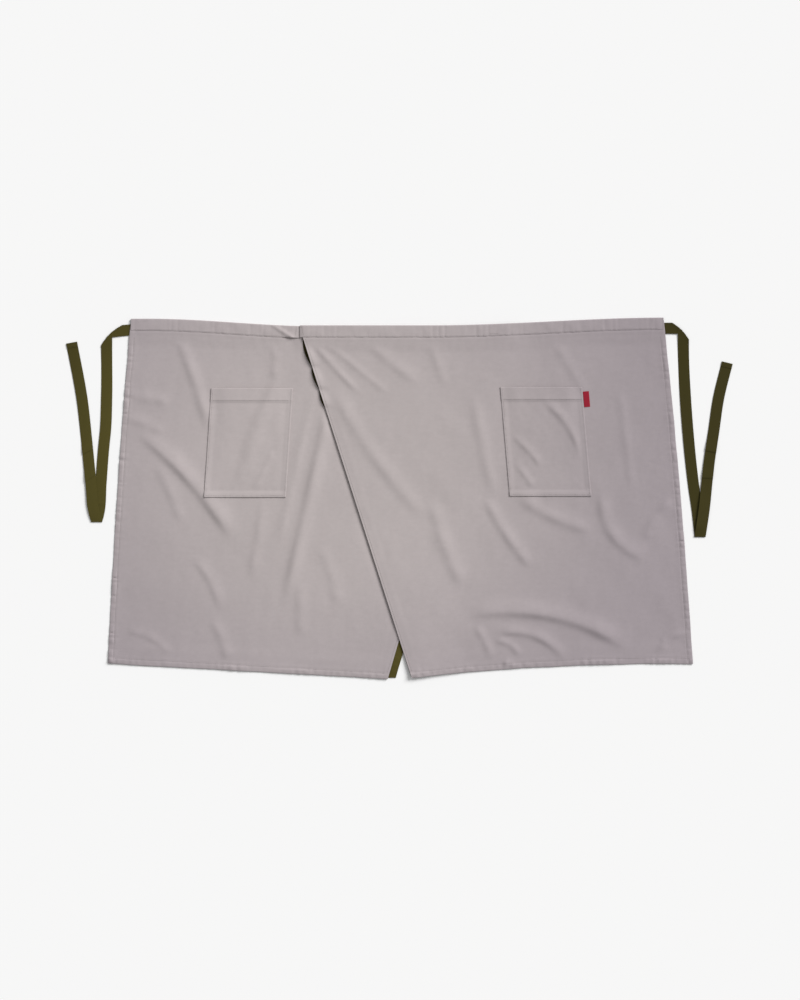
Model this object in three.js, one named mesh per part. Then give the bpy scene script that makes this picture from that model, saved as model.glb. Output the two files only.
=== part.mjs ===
// Split waist apron laid flat: two mirrored skirt panels that overlap at the waist, each hung from
// its own folded waistband, with patch pockets, taped inner edges, a side label and two tape ties.
// Millimetres. +X is to the right of the front, +Y towards the waist, +Z up from the front face.
// The origin is on the resting surface, under the middle of the cloth.
import * as THREE from "three";
import { mergeVertices } from "three/addons/utils/BufferGeometryUtils.js";

// ---- driving dimensions -------------------------------------------------------------------
const CLOTH = 0.5; // thickness of the twill and of the tape
const GAP = 0.3; // clearance between sewn layers
const LAYER = CLOTH + GAP;
const MID = CLOTH / 2;
const THREAD = 0.3; // thickness of a row of stitches
const THREAD_WIDTH = 0.8;
const SIDE_HEM = 9;
const BOTTOM_HEM = 10;
const INNER_SEAM_INSET = 4;
const HINGE_Y = 282; // the line across the skirt, just below the waistbands, where it folds up
const HINGE_GAP = 1; // half the slit that each panel has there

const TAPE_WIDTH = 20;
const TAPE_SHOWING = 14; // how far the under panel's tape stands past its cloth
const TAPE_INSET = 6; // how far the inner tapes stop short of the hem and of the hinge line
const TIE_SEWN_IN = 25;

const BAND_HEIGHT = 21;
const BAND_SEAM_INSET = 1.6;
const UNDER_BAND_END = 178; // the under band runs this far across, behind the over band
const OVER_BAND_END = -181;
const OVER_BAND_RAMP = [185, 240]; // past the under band's end, the over band comes down here

const POCKET = { width: 147, height: 196, mouthHem: 22, edgeSeam: 3, gape: 5.6 };
const LABEL = { width: 10.5, height: 28, thickness: 1, middle: 178, standoff: 1 };

// Panel corners: side seam at waist and hem, inner edge at hem and just under the band
const UNDER_CORNERS = {
  waist: [-485, 323], foot: [-526, -297], innerFoot: [-23, -325], innerTop: [156, 290],
};
const OVER_CORNERS = {
  waist: [473, 325], foot: [526, -298], innerFoot: [20, -323], innerTop: [-176, 290],
};
const SIDE_BOW = 3.5; // each side seam bows out this far between its corners
const OVER_HEM_RISE = 8; // the over panel's hem arches up this far
// Each waist is level across the middle and rises towards its side seam
const UNDER_WAIST = { level: 309.5, rise: [-150, -450] };
const OVER_WAIST = { level: 311, rise: [60, 473] };

// Pockets: [x, y] at the middle of the mouth, and x at the middle of the foot
const UNDER_POCKET = { mouth: [-267, 198], foot: -280 };
const OVER_POCKET = { mouth: [253, 200], foot: 270 };

// The under panel's back is on the surface, and lifted over the tape along its inner edge
const UNDER_TAPED = LAYER;
const UNDER_TAPED_RAMP = [7, 20];
// The over panel rides on the under panel, its taped edge and that edge's stitching
const OVER_TAPE_Z = 2.1;
const OVER_LIFT = OVER_TAPE_Z + LAYER;
const OVER_RAMP = 30; // the over panel comes down to the surface in this distance
// Waistband layers, from the back: band, tie end, panel, band
const BAND_LEVELS = { back: 0, tie: LAYER, panel: 2 * LAYER, front: 3 * LAYER };
const OVER_BAND_LEVELS = { back: 4 * LAYER, panel: 5 * LAYER, front: 6 * LAYER };

// Ties: where each leaves the side, the corner that it turns at, then [x, y, height of the mid
// layer] down the inner leg and, after the fold, back up the outer leg to the free end
const UPPER = MID + LAYER;
const LEFT_TIE = {
  exit: [-485, 303], corner: [-529, 300],
  down: [[-529, 286, 0.6], [-529, 268, MID], [-529, 177, MID], [-531, 123, MID], [-534, 94, MID],
    [-539, 29, MID], [-543, -26, MID], [-547, -42, MID]],
  up: [[-547, -42, UPPER], [-554, -12, UPPER], [-556, 15, UPPER], [-560, 55, UPPER],
    [-565, 105, MID], [-573, 177, MID], [-592, 280, MID]],
};
const RIGHT_TIE = {
  exit: [473, 306], corner: [509, 306],
  down: [[509, 293, 0.6], [509, 275, MID], [513, 177, MID], [517, 123, MID], [527, 26, MID],
    [535, -30, MID], [539, -69, MID]],
  up: [[539, -69, UPPER], [547, -14, UPPER], [551, 26, UPPER], [555, 62, UPPER],
    [564, 123, MID], [572, 178, MID], [588, 244, MID]],
};

// ---- helpers ---------------------------------------------------------------------------------
const { clamp, lerp, smoothstep } = THREE.MathUtils;

function range(count, from = 0, to = 1) {
  return Array.from({ length: count }, (_, i) => lerp(from, to, i / (count - 1)));
}

// A closed sheet: place(a, b, side) gives the point at stations a and b, on the face at side +-0.5
function sheetGeometry(across, along, place) {
  const box = new THREE.BoxGeometry(1, 1, 1, across.length - 1, along.length - 1, 1);
  const position = box.getAttribute("position");
  for (let i = 0; i < position.count; i++) {
    const a = across[Math.round((position.getX(i) + 0.5) * (across.length - 1))];
    const b = along[Math.round((position.getY(i) + 0.5) * (along.length - 1))];
    const [x, y, z] = place(a, b, position.getZ(i));
    position.setXYZ(i, x, y, z);
  }
  return welded(box);
}

function welded(geometry) {
  geometry.deleteAttribute("normal");
  geometry.deleteAttribute("uv");
  const joined = mergeVertices(geometry, 1e-4);
  joined.computeVertexNormals();
  return joined;
}

// A flat strip along points, each [x, y, z of its mid layer]. A strip that folds back on itself
// keeps its right edge on the right, and turns over at the fold.
function strip(points, width, thickness, widthAt = () => width) {
  const centres = points.map(([x, y, z]) => new THREE.Vector3(x, y, z));
  const last = centres.length - 1;
  const flatSide = (i, j) => {
    const run = centres[j].clone().sub(centres[i]);
    const side = new THREE.Vector3(-run.y, run.x, 0);
    return side.length() > 0.5 ? side.normalize() : null;
  };
  const sides = [];
  for (let i = 0; i <= last; i++) {
    const before = i > 0 ? flatSide(i - 1, i) : null;
    const after = i < last ? flatSide(i, i + 1) : null;
    let side = before ?? after ?? sides[i - 1].clone();
    if (before && after) {
      const other = after.dot(before) < -0.5 ? after.clone().negate() : after;
      side = before.clone().add(other).normalize();
      side.divideScalar(Math.max(0.5, side.dot(before)));
    }
    if (i > 0 && side.dot(sides[i - 1]) < 0) side = side.clone().negate();
    sides.push(side);
  }
  const ups = centres.map((centre, i) => {
    const run = centres[Math.min(i + 1, last)].clone().sub(centres[Math.max(i - 1, 0)]);
    return run.cross(sides[i]).normalize().multiplyScalar(thickness);
  });
  const stations = centres.map((_, i) => i);
  return sheetGeometry(stations, [-0.5, 0.5], (i, b, face) => {
    const at = centres[i].clone().addScaledVector(sides[i], b * widthAt(i));
    return at.addScaledVector(ups[i], face).toArray();
  });
}

const TWILL = new THREE.MeshStandardMaterial({ color: 0xb0a7a4, roughness: 0.95, metalness: 0 });
const TAPE = new THREE.MeshStandardMaterial({ color: 0x4d4722, roughness: 0.9, metalness: 0 });
const COTTON = new THREE.MeshStandardMaterial({ color: 0x9a918d, roughness: 0.8, metalness: 0 });
const TAPE_COTTON = new THREE.MeshStandardMaterial({ color: 0x3c3819, roughness: 0.8, metalness: 0 });
const LABEL_RED = new THREE.MeshStandardMaterial({ color: 0xb32a25, roughness: 0.85, metalness: 0 });

const group = new THREE.Group();

function add(name, geometry, material) {
  const mesh = new THREE.Mesh(geometry, material.clone());
  mesh.name = name;
  group.add(mesh);
}

function addSeam(name, points, material = COTTON) {
  add(name, strip(points, THREAD_WIDTH, THREAD), material);
}

// Mid height of a row of stitches lying on cloth whose back is at this level
const threadZ = (level) => level + CLOTH + GAP + THREAD / 2;

// ---- outlines --------------------------------------------------------------------------------
// The edge between two corners, bowed by up to bow. It is keyed by x if along is 0, by y if 1.
function edge(from, to, along, bow = 0) {
  const across = 1 - along;
  return (key) => {
    const t = clamp((key - from[along]) / (to[along] - from[along]), 0, 1);
    return lerp(from[across], to[across], t) + bow * 4 * t * (1 - t);
  };
}

// The top of a waistband, y by x
function waistLine({ level, rise: [start, end] }, top) {
  return (x) => lerp(level, top, smoothstep((x - start) / (end - start), 0, 1));
}

const BY_X = 0;
const BY_Y = 1;
const underInner = edge(UNDER_CORNERS.innerFoot, UNDER_CORNERS.innerTop, BY_Y);
const overInner = edge(OVER_CORNERS.innerFoot, OVER_CORNERS.innerTop, BY_Y);

// Height of the under panel's back
function underHeight(x, y) {
  return UNDER_TAPED * (1 - smoothstep(underInner(y) - x, ...UNDER_TAPED_RAMP));
}

// Where the over panel starts down from the under panel, and the height of its back
function overRampStart(y) {
  return Math.max(underInner(y) + TAPE_SHOWING + 3, overInner(y) + TAPE_WIDTH + 2);
}

function overHeight(x, y) {
  return OVER_LIFT * (1 - smoothstep(x - overRampStart(y), 0, OVER_RAMP));
}

const overBandLevel = (layer) => (x) =>
  lerp(OVER_BAND_LEVELS[layer], BAND_LEVELS[layer], smoothstep(x, ...OVER_BAND_RAMP));

const UNDER = {
  name: "left",
  outward: -1,
  corners: UNDER_CORNERS,
  side: edge(UNDER_CORNERS.foot, UNDER_CORNERS.waist, BY_Y, -SIDE_BOW),
  inner: underInner,
  hem: edge(UNDER_CORNERS.foot, UNDER_CORNERS.innerFoot, BY_X),
  waist: waistLine(UNDER_WAIST, UNDER_CORNERS.waist[1]),
  height: underHeight,
  band: [UNDER_CORNERS.waist[0], UNDER_BAND_END],
  bandSeamEnd: OVER_BAND_END - 13,
  levels: {
    back: () => BAND_LEVELS.back,
    panel: () => BAND_LEVELS.panel,
    front: () => BAND_LEVELS.front,
  },
  // columns 0 to 1 are the field, 1 to 2 the stretch over the tape
  columns: [...range(11, 0, 1), 1.25, 1.5, 1.75, 2],
  fraction(column, y) {
    const field = 1 - TAPE_WIDTH / Math.abs(underInner(y) - this.side(y));
    return column <= 1 ? column * field : lerp(field, 1, column - 1);
  },
};

const OVER = {
  name: "right",
  outward: 1,
  corners: OVER_CORNERS,
  side: edge(OVER_CORNERS.foot, OVER_CORNERS.waist, BY_Y, SIDE_BOW),
  inner: overInner,
  hem: edge(OVER_CORNERS.foot, OVER_CORNERS.innerFoot, BY_X, OVER_HEM_RISE),
  waist: waistLine(OVER_WAIST, OVER_CORNERS.waist[1]),
  height: overHeight,
  band: [OVER_BAND_END, OVER_CORNERS.waist[0]],
  bandSeamEnd: OVER_CORNERS.waist[0] - 8,
  levels: {
    back: overBandLevel("back"),
    panel: overBandLevel("panel"),
    front: overBandLevel("front"),
  },
  // columns 0 to 1 are the field, 1 to 2 the slope and 2 to 3 the raised stretch
  columns: [...range(9, 0, 1), 1.2, 1.4, 1.6, 1.8, ...range(6, 2, 3)],
  fraction(column, y) {
    const full = overInner(y) - this.side(y);
    const slopeEnd = (overRampStart(y) + OVER_RAMP - this.side(y)) / full;
    const slopeStart = (overRampStart(y) - this.side(y)) / full;
    if (column <= 1) return column * slopeEnd;
    return column <= 2 ? lerp(slopeEnd, slopeStart, column - 1) : lerp(slopeStart, 1, column - 2);
  },
};

// ---- the two skirt panels ----------------------------------------------------------------------
// A panel is laid out by columns from its side edge to its inner edge and rows from hem to hinge
const ROWS = range(15);

function panelPoint(panel, column, row) {
  const { foot, innerFoot } = panel.corners;
  const footX = lerp(foot[0], innerFoot[0], panel.fraction(column, foot[1]));
  const y = lerp(panel.hem(footX), HINGE_Y - HINGE_GAP, row);
  const x = lerp(panel.side(y), panel.inner(y), panel.fraction(column, y));
  return [x, y];
}

function addPanel(panel) {
  const { name, outward, columns, corners } = panel;
  // outward keeps the faces pointing out on the mirrored panel
  add(`${name}_panel`, sheetGeometry(columns, ROWS, (column, row, face) => {
    const [x, y] = panelPoint(panel, column, row);
    return [x, y, panel.height(x, y) + MID - face * outward * CLOTH];
  }), TWILL);

  const stitch = (x, y) => [x, y, threadZ(panel.height(x, y))];
  const sideRows = range(13, corners.foot[1] + SIDE_HEM, HINGE_Y - HINGE_GAP - 3);
  addSeam(`${name}_side_seam`, sideRows.map((y) => stitch(panel.side(y) - outward * SIDE_HEM, y)));

  const hemColumns = columns.slice(1, -2);
  addSeam(`${name}_bottom_seam`, hemColumns.map((column) => {
    const [x, y] = panelPoint(panel, column, 0);
    return stitch(x, y + BOTTOM_HEM);
  }));

  addSeam(`${name}_inner_seam`, ROWS.slice(1, -1).map((row) => {
    const [x, y] = panelPoint(panel, columns.at(-1), row);
    return stitch(x + outward * INNER_SEAM_INSET, y);
  }));
}

// The tape sewn under each panel's inner edge, past which the under panel's one shows
function addInnerTape(panel, middle, level) {
  const rows = range(9, panel.corners.innerFoot[1] + TAPE_INSET, HINGE_Y - TAPE_INSET);
  const points = rows.map((y) => [panel.inner(y) + middle, y, level + MID]);
  add(`${panel.name}_inner_tape`, strip(points, TAPE_WIDTH, CLOTH), TAPE);
}

// ---- patch pockets, sewn on three sides and open at the top ---------------------------------------
// u runs across from the left corner, v up from the foot. The level is that of the pocket's back.
function pocketPoint({ mouth, foot }, u, v) {
  const open = smoothstep(u, 0, 0.2) * smoothstep(1 - u, 0, 0.2) * smoothstep(v, 0, 0.5);
  const x = lerp(foot, mouth[0], v) + (u - 0.5) * POCKET.width;
  const y = mouth[1] - (1 - v) * POCKET.height;
  return [x, y, LAYER + POCKET.gape * open];
}

function addPocket(name, pocket) {
  const sideSeam = POCKET.edgeSeam / POCKET.width;
  const footSeam = POCKET.edgeSeam / POCKET.height;
  const mouthSeam = 1 - POCKET.mouthHem / POCKET.height;
  const across = [0, sideSeam, 0.07, 0.12, 0.2, 0.4, 0.6, 0.8, 0.88, 0.93, 1 - sideSeam, 1];
  const up = [0, footSeam, 0.12, 0.25, 0.38, 0.5, 0.7, mouthSeam, 1];
  add(`${name}_pocket`, sheetGeometry(across, up, (u, v, face) => {
    const [x, y, level] = pocketPoint(pocket, u, v);
    return [x, y, level + MID + face * CLOTH];
  }), TWILL);

  const stitch = (u, v) => {
    const [x, y, level] = pocketPoint(pocket, u, v);
    return [x, y, threadZ(level)];
  };
  const between = across.slice(2, -2);
  addSeam(`${name}_pocket_seam`, [
    ...up.slice(1).reverse().map((v) => stitch(sideSeam, v)),
    ...between.map((u) => stitch(u, footSeam)),
    ...up.slice(1).map((v) => stitch(1 - sideSeam, v)),
  ]);
  addSeam(`${name}_pocket_mouth_seam`, between.map((u) => stitch(u, mouthSeam)));
}

// The folded label caught in the outer side seam of the right pocket, standing clear on a hinge
function addLabel() {
  const { mouth, foot } = OVER_POCKET;
  const lean = Math.atan2(foot - mouth[0], POCKET.height);
  const v = 1 - (mouth[1] - LABEL.middle) / POCKET.height;
  const [edgeX] = pocketPoint(OVER_POCKET, 1, v);
  const label = new THREE.BoxGeometry(LABEL.width, LABEL.height, LABEL.thickness, 3, 4, 1);
  label.translate(LABEL.width / 2 + LABEL.standoff, 0, 0);
  label.rotateZ(lean);
  label.translate(edgeX, LABEL.middle, LAYER + LABEL.thickness / 2);
  add("side_label", welded(label), LABEL_RED);
}

// ---- waist: the panels' sewn-in tops, and a band folded over each ------------------------------------
const RISE_TO_BAND = 4.5; // a panel climbs from the hinge line to its level in the band in this distance
const TOP_CLEARANCE = 4; // its raw top stops this far below the band's fold

function addPanelTop(panel) {
  const ends = [panel.corners.waist[0], panel.inner(HINGE_Y)];
  const columns = range(29, Math.min(...ends), Math.max(...ends));
  const foot = HINGE_Y + HINGE_GAP;
  const rows = [0, 0.3, 0.6, 1, 2, 3];
  add(`${panel.name}_panel_top`, sheetGeometry(columns, rows, (x, row, face) => {
    const climbed = foot + RISE_TO_BAND;
    const top = panel.waist(x) - TOP_CLEARANCE;
    const y = row <= 1 ? foot + RISE_TO_BAND * row : lerp(climbed, top, (row - 1) / 2);
    const low = panel.height(x, HINGE_Y - HINGE_GAP);
    const level = lerp(low, panel.levels.panel(x), smoothstep(row, 0, 1));
    return [x, y, level + MID + face * CLOTH];
  }), TWILL);
}

// The band's section goes up its front, over the fold and down its back
const FOLD_SHARE = 0.8;

function addWaistband(panel) {
  const { name, waist, levels, band } = panel;
  const columns = range(33, ...band);
  const around = range(11, -1, 1);
  add(`${name}_waistband`, sheetGeometry(columns, around, (x, t, face) => {
    const front = levels.front(x) + MID;
    const back = levels.back(x) + MID;
    const radius = (front - back) / 2;
    const offset = face * CLOTH;
    if (Math.abs(t) > FOLD_SHARE) {
      return [x, waist(x) - BAND_HEIGHT, t < 0 ? front + offset : back - offset];
    }
    const turn = (t / FOLD_SHARE) * (Math.PI / 2);
    const foldY = waist(x) - radius - MID;
    const reach = radius + offset;
    return [x, foldY + reach * Math.cos(turn), (front + back) / 2 - reach * Math.sin(turn)];
  }), TWILL);

  const sewn = columns.filter((x) => x > band[0] && x < panel.bandSeamEnd);
  addSeam(`${name}_band_seam`, sewn.map((x) => {
    const y = waist(x) - BAND_HEIGHT + BAND_SEAM_INSET;
    return [x, y, threadZ(levels.front(x))];
  }));
}

// Short rows of stitches: down each band's end where the two meet, and along the covered end
function addBandTacks() {
  const down = (panel, top, lean) => {
    const level = threadZ(panel.levels.front(top));
    const points = range(4, 2, 14).map((drop) => [top + lean * drop, panel.waist(top) - drop, level]);
    addSeam(`${panel.name}_band_end_tack`, points);
  };
  down(UNDER, OVER_BAND_END - 5, -0.2);
  down(OVER, OVER_BAND_END + 3, 0.2);
  const covered = range(4, UNDER_BAND_END - 17, UNDER_BAND_END);
  addSeam("covered_band_tack", covered.map((x) => {
    const y = OVER.waist(x) - BAND_HEIGHT + 4;
    return [x, y, threadZ(OVER_BAND_LEVELS.front)];
  }));
}

// ---- ties ----------------------------------------------------------------------------------------
// The root is sewn into the band's end; past the corner the tie hangs free and swings
const CORNER_CLEARANCE = 1.2; // between the root's end and the tie's round end
const END_HEM = { start: 0.4, middle: 5, end: 9, seam: 7 }; // distances back from the free end

function addTie(panel, tie) {
  const { name, outward } = panel;
  const half = TAPE_WIDTH / 2;
  const level = BAND_LEVELS.tie + MID;
  const [exitX, exitY] = tie.exit;
  const [cornerX, cornerY] = tie.corner;
  const rootEnd = cornerX - outward * (half + CORNER_CLEARANCE);
  const root = [[exitX - outward * TIE_SEWN_IN, exitY], [exitX, exitY], [rootEnd, cornerY]];
  const rootPoints = root.map(([x, y]) => [x, y, level]);
  add(`${name}_tie_root`, strip(rootPoints, TAPE_WIDTH, CLOTH), TAPE);

  const chord = (distance) => 2 * Math.sqrt(half * half - (half - distance) ** 2);
  const rounded = [0.3, 1.2, 3, 6, half];
  const cap = rounded.map((distance) => [cornerX, cornerY + half - distance, level]);
  const [foldX, foldY] = tie.up[0];
  const turn = range(5, 0, Math.PI).slice(1, -1).map((angle) => {
    const y = foldY - (Math.sin(angle) * LAYER) / 2;
    return [foldX, y, MID + ((1 - Math.cos(angle)) * LAYER) / 2];
  });
  const route = [...cap, ...tie.down, ...turn, ...tie.up];
  const widthAt = (i) => (i < rounded.length ? chord(rounded[i]) : TAPE_WIDTH);
  add(`${name}_tie`, strip(route, TAPE_WIDTH, CLOTH, widthAt), TAPE);

  const [before, end] = tie.up.slice(-2).map(([x, y]) => new THREE.Vector2(x, y));
  const back = before.clone().sub(end).normalize();
  const across = new THREE.Vector2(-back.y, back.x);
  const hem = [END_HEM.start, END_HEM.middle, END_HEM.end].map((distance) => {
    const at = end.clone().addScaledVector(back, distance);
    return [at.x, at.y, UPPER];
  });
  add(`${name}_tie_end_hem`, strip(hem, TAPE_WIDTH, CLOTH), TAPE);

  const seamMiddle = end.clone().addScaledVector(back, END_HEM.seam);
  const seam = range(3, 1.5 - half, half - 1.5).map((distance) => {
    const at = seamMiddle.clone().addScaledVector(across, distance);
    return [at.x, at.y, threadZ(LAYER)];
  });
  addSeam(`${name}_tie_end_seam`, seam, TAPE_COTTON);
}

// ---- assembly --------------------------------------------------------------------------------------
addPanel(UNDER);
addPanel(OVER);
addInnerTape(UNDER, TAPE_SHOWING - TAPE_WIDTH / 2, 0);
addInnerTape(OVER, TAPE_WIDTH / 2, OVER_TAPE_Z);
addPocket(UNDER.name, UNDER_POCKET);
addPocket(OVER.name, OVER_POCKET);
addLabel();
addPanelTop(UNDER);
addPanelTop(OVER);
addWaistband(UNDER);
addWaistband(OVER);
addBandTacks();
addTie(UNDER, LEFT_TIE);
addTie(OVER, RIGHT_TIE);

export default group;
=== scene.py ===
"""Split waist apron laid flat: cloth, pockets, waistbands, tape ties and stitching"""

from functools import partial

import bmesh
import bpy
import numpy as np
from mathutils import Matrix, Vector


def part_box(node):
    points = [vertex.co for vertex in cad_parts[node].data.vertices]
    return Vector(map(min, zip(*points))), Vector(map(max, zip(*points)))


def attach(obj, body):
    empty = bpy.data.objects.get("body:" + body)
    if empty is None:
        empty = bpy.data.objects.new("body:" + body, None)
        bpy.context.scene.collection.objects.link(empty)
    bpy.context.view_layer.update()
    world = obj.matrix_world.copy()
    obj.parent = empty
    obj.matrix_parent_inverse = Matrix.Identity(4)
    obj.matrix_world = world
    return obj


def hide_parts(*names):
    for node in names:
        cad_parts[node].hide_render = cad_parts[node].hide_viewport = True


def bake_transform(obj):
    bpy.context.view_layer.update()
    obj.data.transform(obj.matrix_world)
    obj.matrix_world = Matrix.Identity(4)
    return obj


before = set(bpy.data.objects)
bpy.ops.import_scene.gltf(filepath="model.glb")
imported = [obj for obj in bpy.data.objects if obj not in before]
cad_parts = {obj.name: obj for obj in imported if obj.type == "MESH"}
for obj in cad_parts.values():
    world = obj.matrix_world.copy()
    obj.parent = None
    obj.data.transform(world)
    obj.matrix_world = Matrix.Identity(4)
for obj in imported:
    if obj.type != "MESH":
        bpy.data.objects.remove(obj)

bl_info = {
    "name": "Split Waist Apron",
    "version": (1, 0, 0),
    "blender": (4, 5, 0),
    "location": "View3D > Sidebar > Apron",
    "description": "Makes a split waist apron laid flat, from its cloth, tapes and stitches",
    "category": "Add Mesh",
}

MM = 0.001

# ---- sizes repeated from the part's source, in metres ----
CLOTH = 0.5 * MM
LAYER = 0.8 * MM
MID = CLOTH / 2
HINGE_Y = 282 * MM
BAND_HEIGHT = 21 * MM
TAPE_WIDTH = 20 * MM
TAPE_SHOWING = 14 * MM
UNDER_BAND_END = 178 * MM
OVER_BAND_END = -181 * MM
OVER_BAND_RAMP = (185 * MM, 240 * MM)
UNDER_TAPED_RAMP = (7 * MM, 20 * MM)
OVER_TAPE_Z = 2.1 * MM
OVER_LIFT = OVER_TAPE_Z + LAYER
OVER_RAMP = 95 * MM
SIDE_BOW = 3.5 * MM
OVER_HEM_RISE = 8 * MM
POCKET_WIDTH = 147 * MM
POCKET_HEIGHT = 196 * MM
HEM_SEAM = {"side": 9 * MM, "bottom": 10 * MM, "inner": 4 * MM}

# Corners: side seam at waist and hem, inner edge at hem and just under the band
UNDER_CORNERS = {
    "waist": (-0.485, 0.323), "foot": (-0.526, -0.297),
    "inner_foot": (-0.023, -0.325), "inner_top": (0.156, 0.290),
}
OVER_CORNERS = {
    "waist": (0.473, 0.325), "foot": (0.526, -0.298),
    "inner_foot": (0.020, -0.323), "inner_top": (-0.176, 0.290),
}
# Pockets: middle of the mouth, and x at the middle of the foot
UNDER_POCKET = {"mouth": (-0.267, 0.198), "foot": -0.280}
OVER_POCKET = {"mouth": (0.253, 0.200), "foot": 0.270}

# Tie routes: down the inner leg from the corner and back up the outer leg, with heights
LOW = MID + 0.1 * MM
HIGH = LOW + LAYER
LEFT_TIE = {
    "exit": (-0.485, 0.303), "corner": (-0.529, 0.300),
    "down": [(-0.529, 0.286, 0.6 * MM), (-0.529, 0.268, LOW), (-0.529, 0.177, LOW),
             (-0.531, 0.123, LOW), (-0.534, 0.094, LOW), (-0.539, 0.029, LOW),
             (-0.543, -0.026, LOW), (-0.547, -0.042, LOW)],
    "up": [(-0.547, -0.042, HIGH), (-0.554, -0.012, HIGH), (-0.556, 0.015, HIGH),
           (-0.560, 0.055, HIGH), (-0.565, 0.105, LOW), (-0.573, 0.177, LOW),
           (-0.592, 0.280, LOW)],
}
RIGHT_TIE = {
    "exit": (0.473, 0.306), "corner": (0.509, 0.306),
    "down": [(0.509, 0.293, 0.6 * MM), (0.509, 0.275, LOW), (0.513, 0.177, LOW),
             (0.517, 0.123, LOW), (0.527, 0.026, LOW), (0.535, -0.030, LOW),
             (0.539, -0.069, LOW)],
    "up": [(0.539, -0.069, HIGH), (0.547, -0.014, HIGH), (0.551, 0.026, HIGH),
           (0.555, 0.062, HIGH), (0.564, 0.123, LOW), (0.572, 0.178, LOW),
           (0.588, 0.244, LOW)],
}

# ---- drape: the folds that the cloth lies in ----
# Each fold is (start, end, bow, height, steep, gentle). It runs between two places on its panel,
# given as shares across from the side seam to the inner edge and up from the hem to the band. bow
# bends it sideways by that share of its length. The rest are millimetres: its height, and how
# widely it falls away to the left and to the right of its crest.
UNDER_FOLDS = [
    ((0.04, 0.70), (0.39, 0.37), 0.05, 4.0, 8, 17),
    ((0.60, 0.90), (0.58, 0.17), 0.00, 3.9, 8, 13),
    ((0.545, 0.86), (0.525, 0.34), 0.00, 1.5, 10, 6),
    ((0.13, 0.99), (0.26, 0.70), 0.02, 2.7, 8, 12),
    ((0.40, 0.99), (0.42, 0.86), 0.05, 1.4, 5, 8),
    ((0.45, 0.95), (0.385, 0.54), -0.03, 1.7, 9, 11),
    ((0.45, 0.52), (0.45, 0.26), 0.02, 1.5, 7, 10),
    ((0.25, 0.33), (0.37, 0.17), 0.08, 1.7, 6, 12),
    ((0.34, 0.15), (0.42, 0.02), 0.06, 1.6, 7, 12),
    ((0.01, 0.80), (0.14, 0.78), 0.05, 1.5, 10, 12),
    ((0.00, 0.74), (0.13, 0.69), 0.05, 1.3, 8, 10),
    ((0.11, 0.60), (0.21, 0.42), 0.03, 1.3, 8, 10),
    ((0.66, 0.38), (0.76, 0.20), 0.05, 1.2, 8, 11),
    ((0.615, 0.28), (0.66, 0.10), 0.00, 1.5, 8, 12),
    ((0.05, 0.10), (0.22, 0.03), 0.12, 1.0, 5, 9),
]
OVER_FOLDS = [
    ((0.20, 0.035), (0.76, 0.165), -0.105, 4.6, 9, 18),
    ((0.44, 0.015), (0.68, 0.105), -0.16, 2.8, 6, 11),
    ((0.60, 0.03), (0.68, 0.085), -0.18, 1.7, 5, 7),
    ((0.70, 0.03), (0.73, 0.14), -0.04, 1.6, 6, 8),
    ((0.12, 0.31), (0.235, 0.53), 0.20, 2.6, 8, 14),
    ((0.02, 0.50), (0.13, 0.37), -0.05, 2.0, 8, 12),
    ((0.28, 0.40), (0.50, 0.515), 0.06, 2.4, 9, 13),
    ((0.495, 0.29), (0.60, 0.52), 0.04, 2.5, 7, 11),
    ((0.735, 0.24), (0.765, 0.52), 0.03, 2.3, 10, 14),
    ((0.965, 0.87), (0.79, 0.45), -0.04, 2.2, 10, 14),
    ((0.57, 0.50), (0.565, 0.84), 0.01, 1.9, 9, 11),
    ((0.70, 0.85), (0.83, 1.00), 0.04, 1.7, 8, 13),
    ((0.64, 0.84), (0.66, 1.02), 0.00, 1.4, 7, 9),
    ((0.88, 0.82), (1.00, 1.02), 0.02, 1.8, 4, 6),
    ((0.80, 0.82), (0.98, 1.02), 0.00, 1.2, 4, 7),
    ((0.145, 0.50), (0.145, 0.84), 0.00, 1.1, 7, 8),
    ((0.01, 0.10), (0.13, 0.03), -0.08, 1.7, 5, 9),
    ((0.665, 0.024), (0.625, -0.004), 0.00, 1.9, 3, 8),
    ((0.24, 0.80), (0.31, 0.97), 0.00, 1.3, 8, 11),
]
# The same on each pocket, in shares across from its left edge and up from its foot
UNDER_POCKET_FOLDS = [
    ((0.66, 0.90), (0.40, 0.10), -0.03, 1.1, 8, 9),
    ((0.82, 0.45), (0.60, 0.05), 0.00, 0.9, 5, 7),
]
OVER_POCKET_FOLDS = [
    ((0.48, 0.90), (0.95, 0.25), 0.10, 1.9, 6, 10),
    ((0.08, 0.56), (0.42, 0.26), 0.05, 1.4, 5, 8),
    ((0.06, 0.32), (0.30, 0.06), 0.05, 1.3, 5, 8),
]
FOLD_FADE = 0.22  # share of a fold's length over which each end fades
# Where the over panel's inner edge stands off the under one: middle y, half length, width
EDGE_GAPS = [(0.262, 0.026, 0.0048), (0.217, 0.020, 0.0040), (0.178, 0.015, 0.0032)]
# Creases across each tie: distance past its fold, and how far the crease leans over the width
TIE_CREASES = {
    "left": ((0.080, -0.011), (0.128, -0.0075)),
    "right": ((0.107, -0.0015), (0.155, 0.001)),
}
# How far a tie's returning leg stands off the other one near the fold
TIE_STAND_OFF = {"left": 0.9 * MM, "right": 2.8 * MM}
# Distance from a tie's inner corner to the edge where its outer part is folded under
TIE_CORNER_FOLD = {"left": 7.0 * MM, "right": 9.5 * MM}


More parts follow.
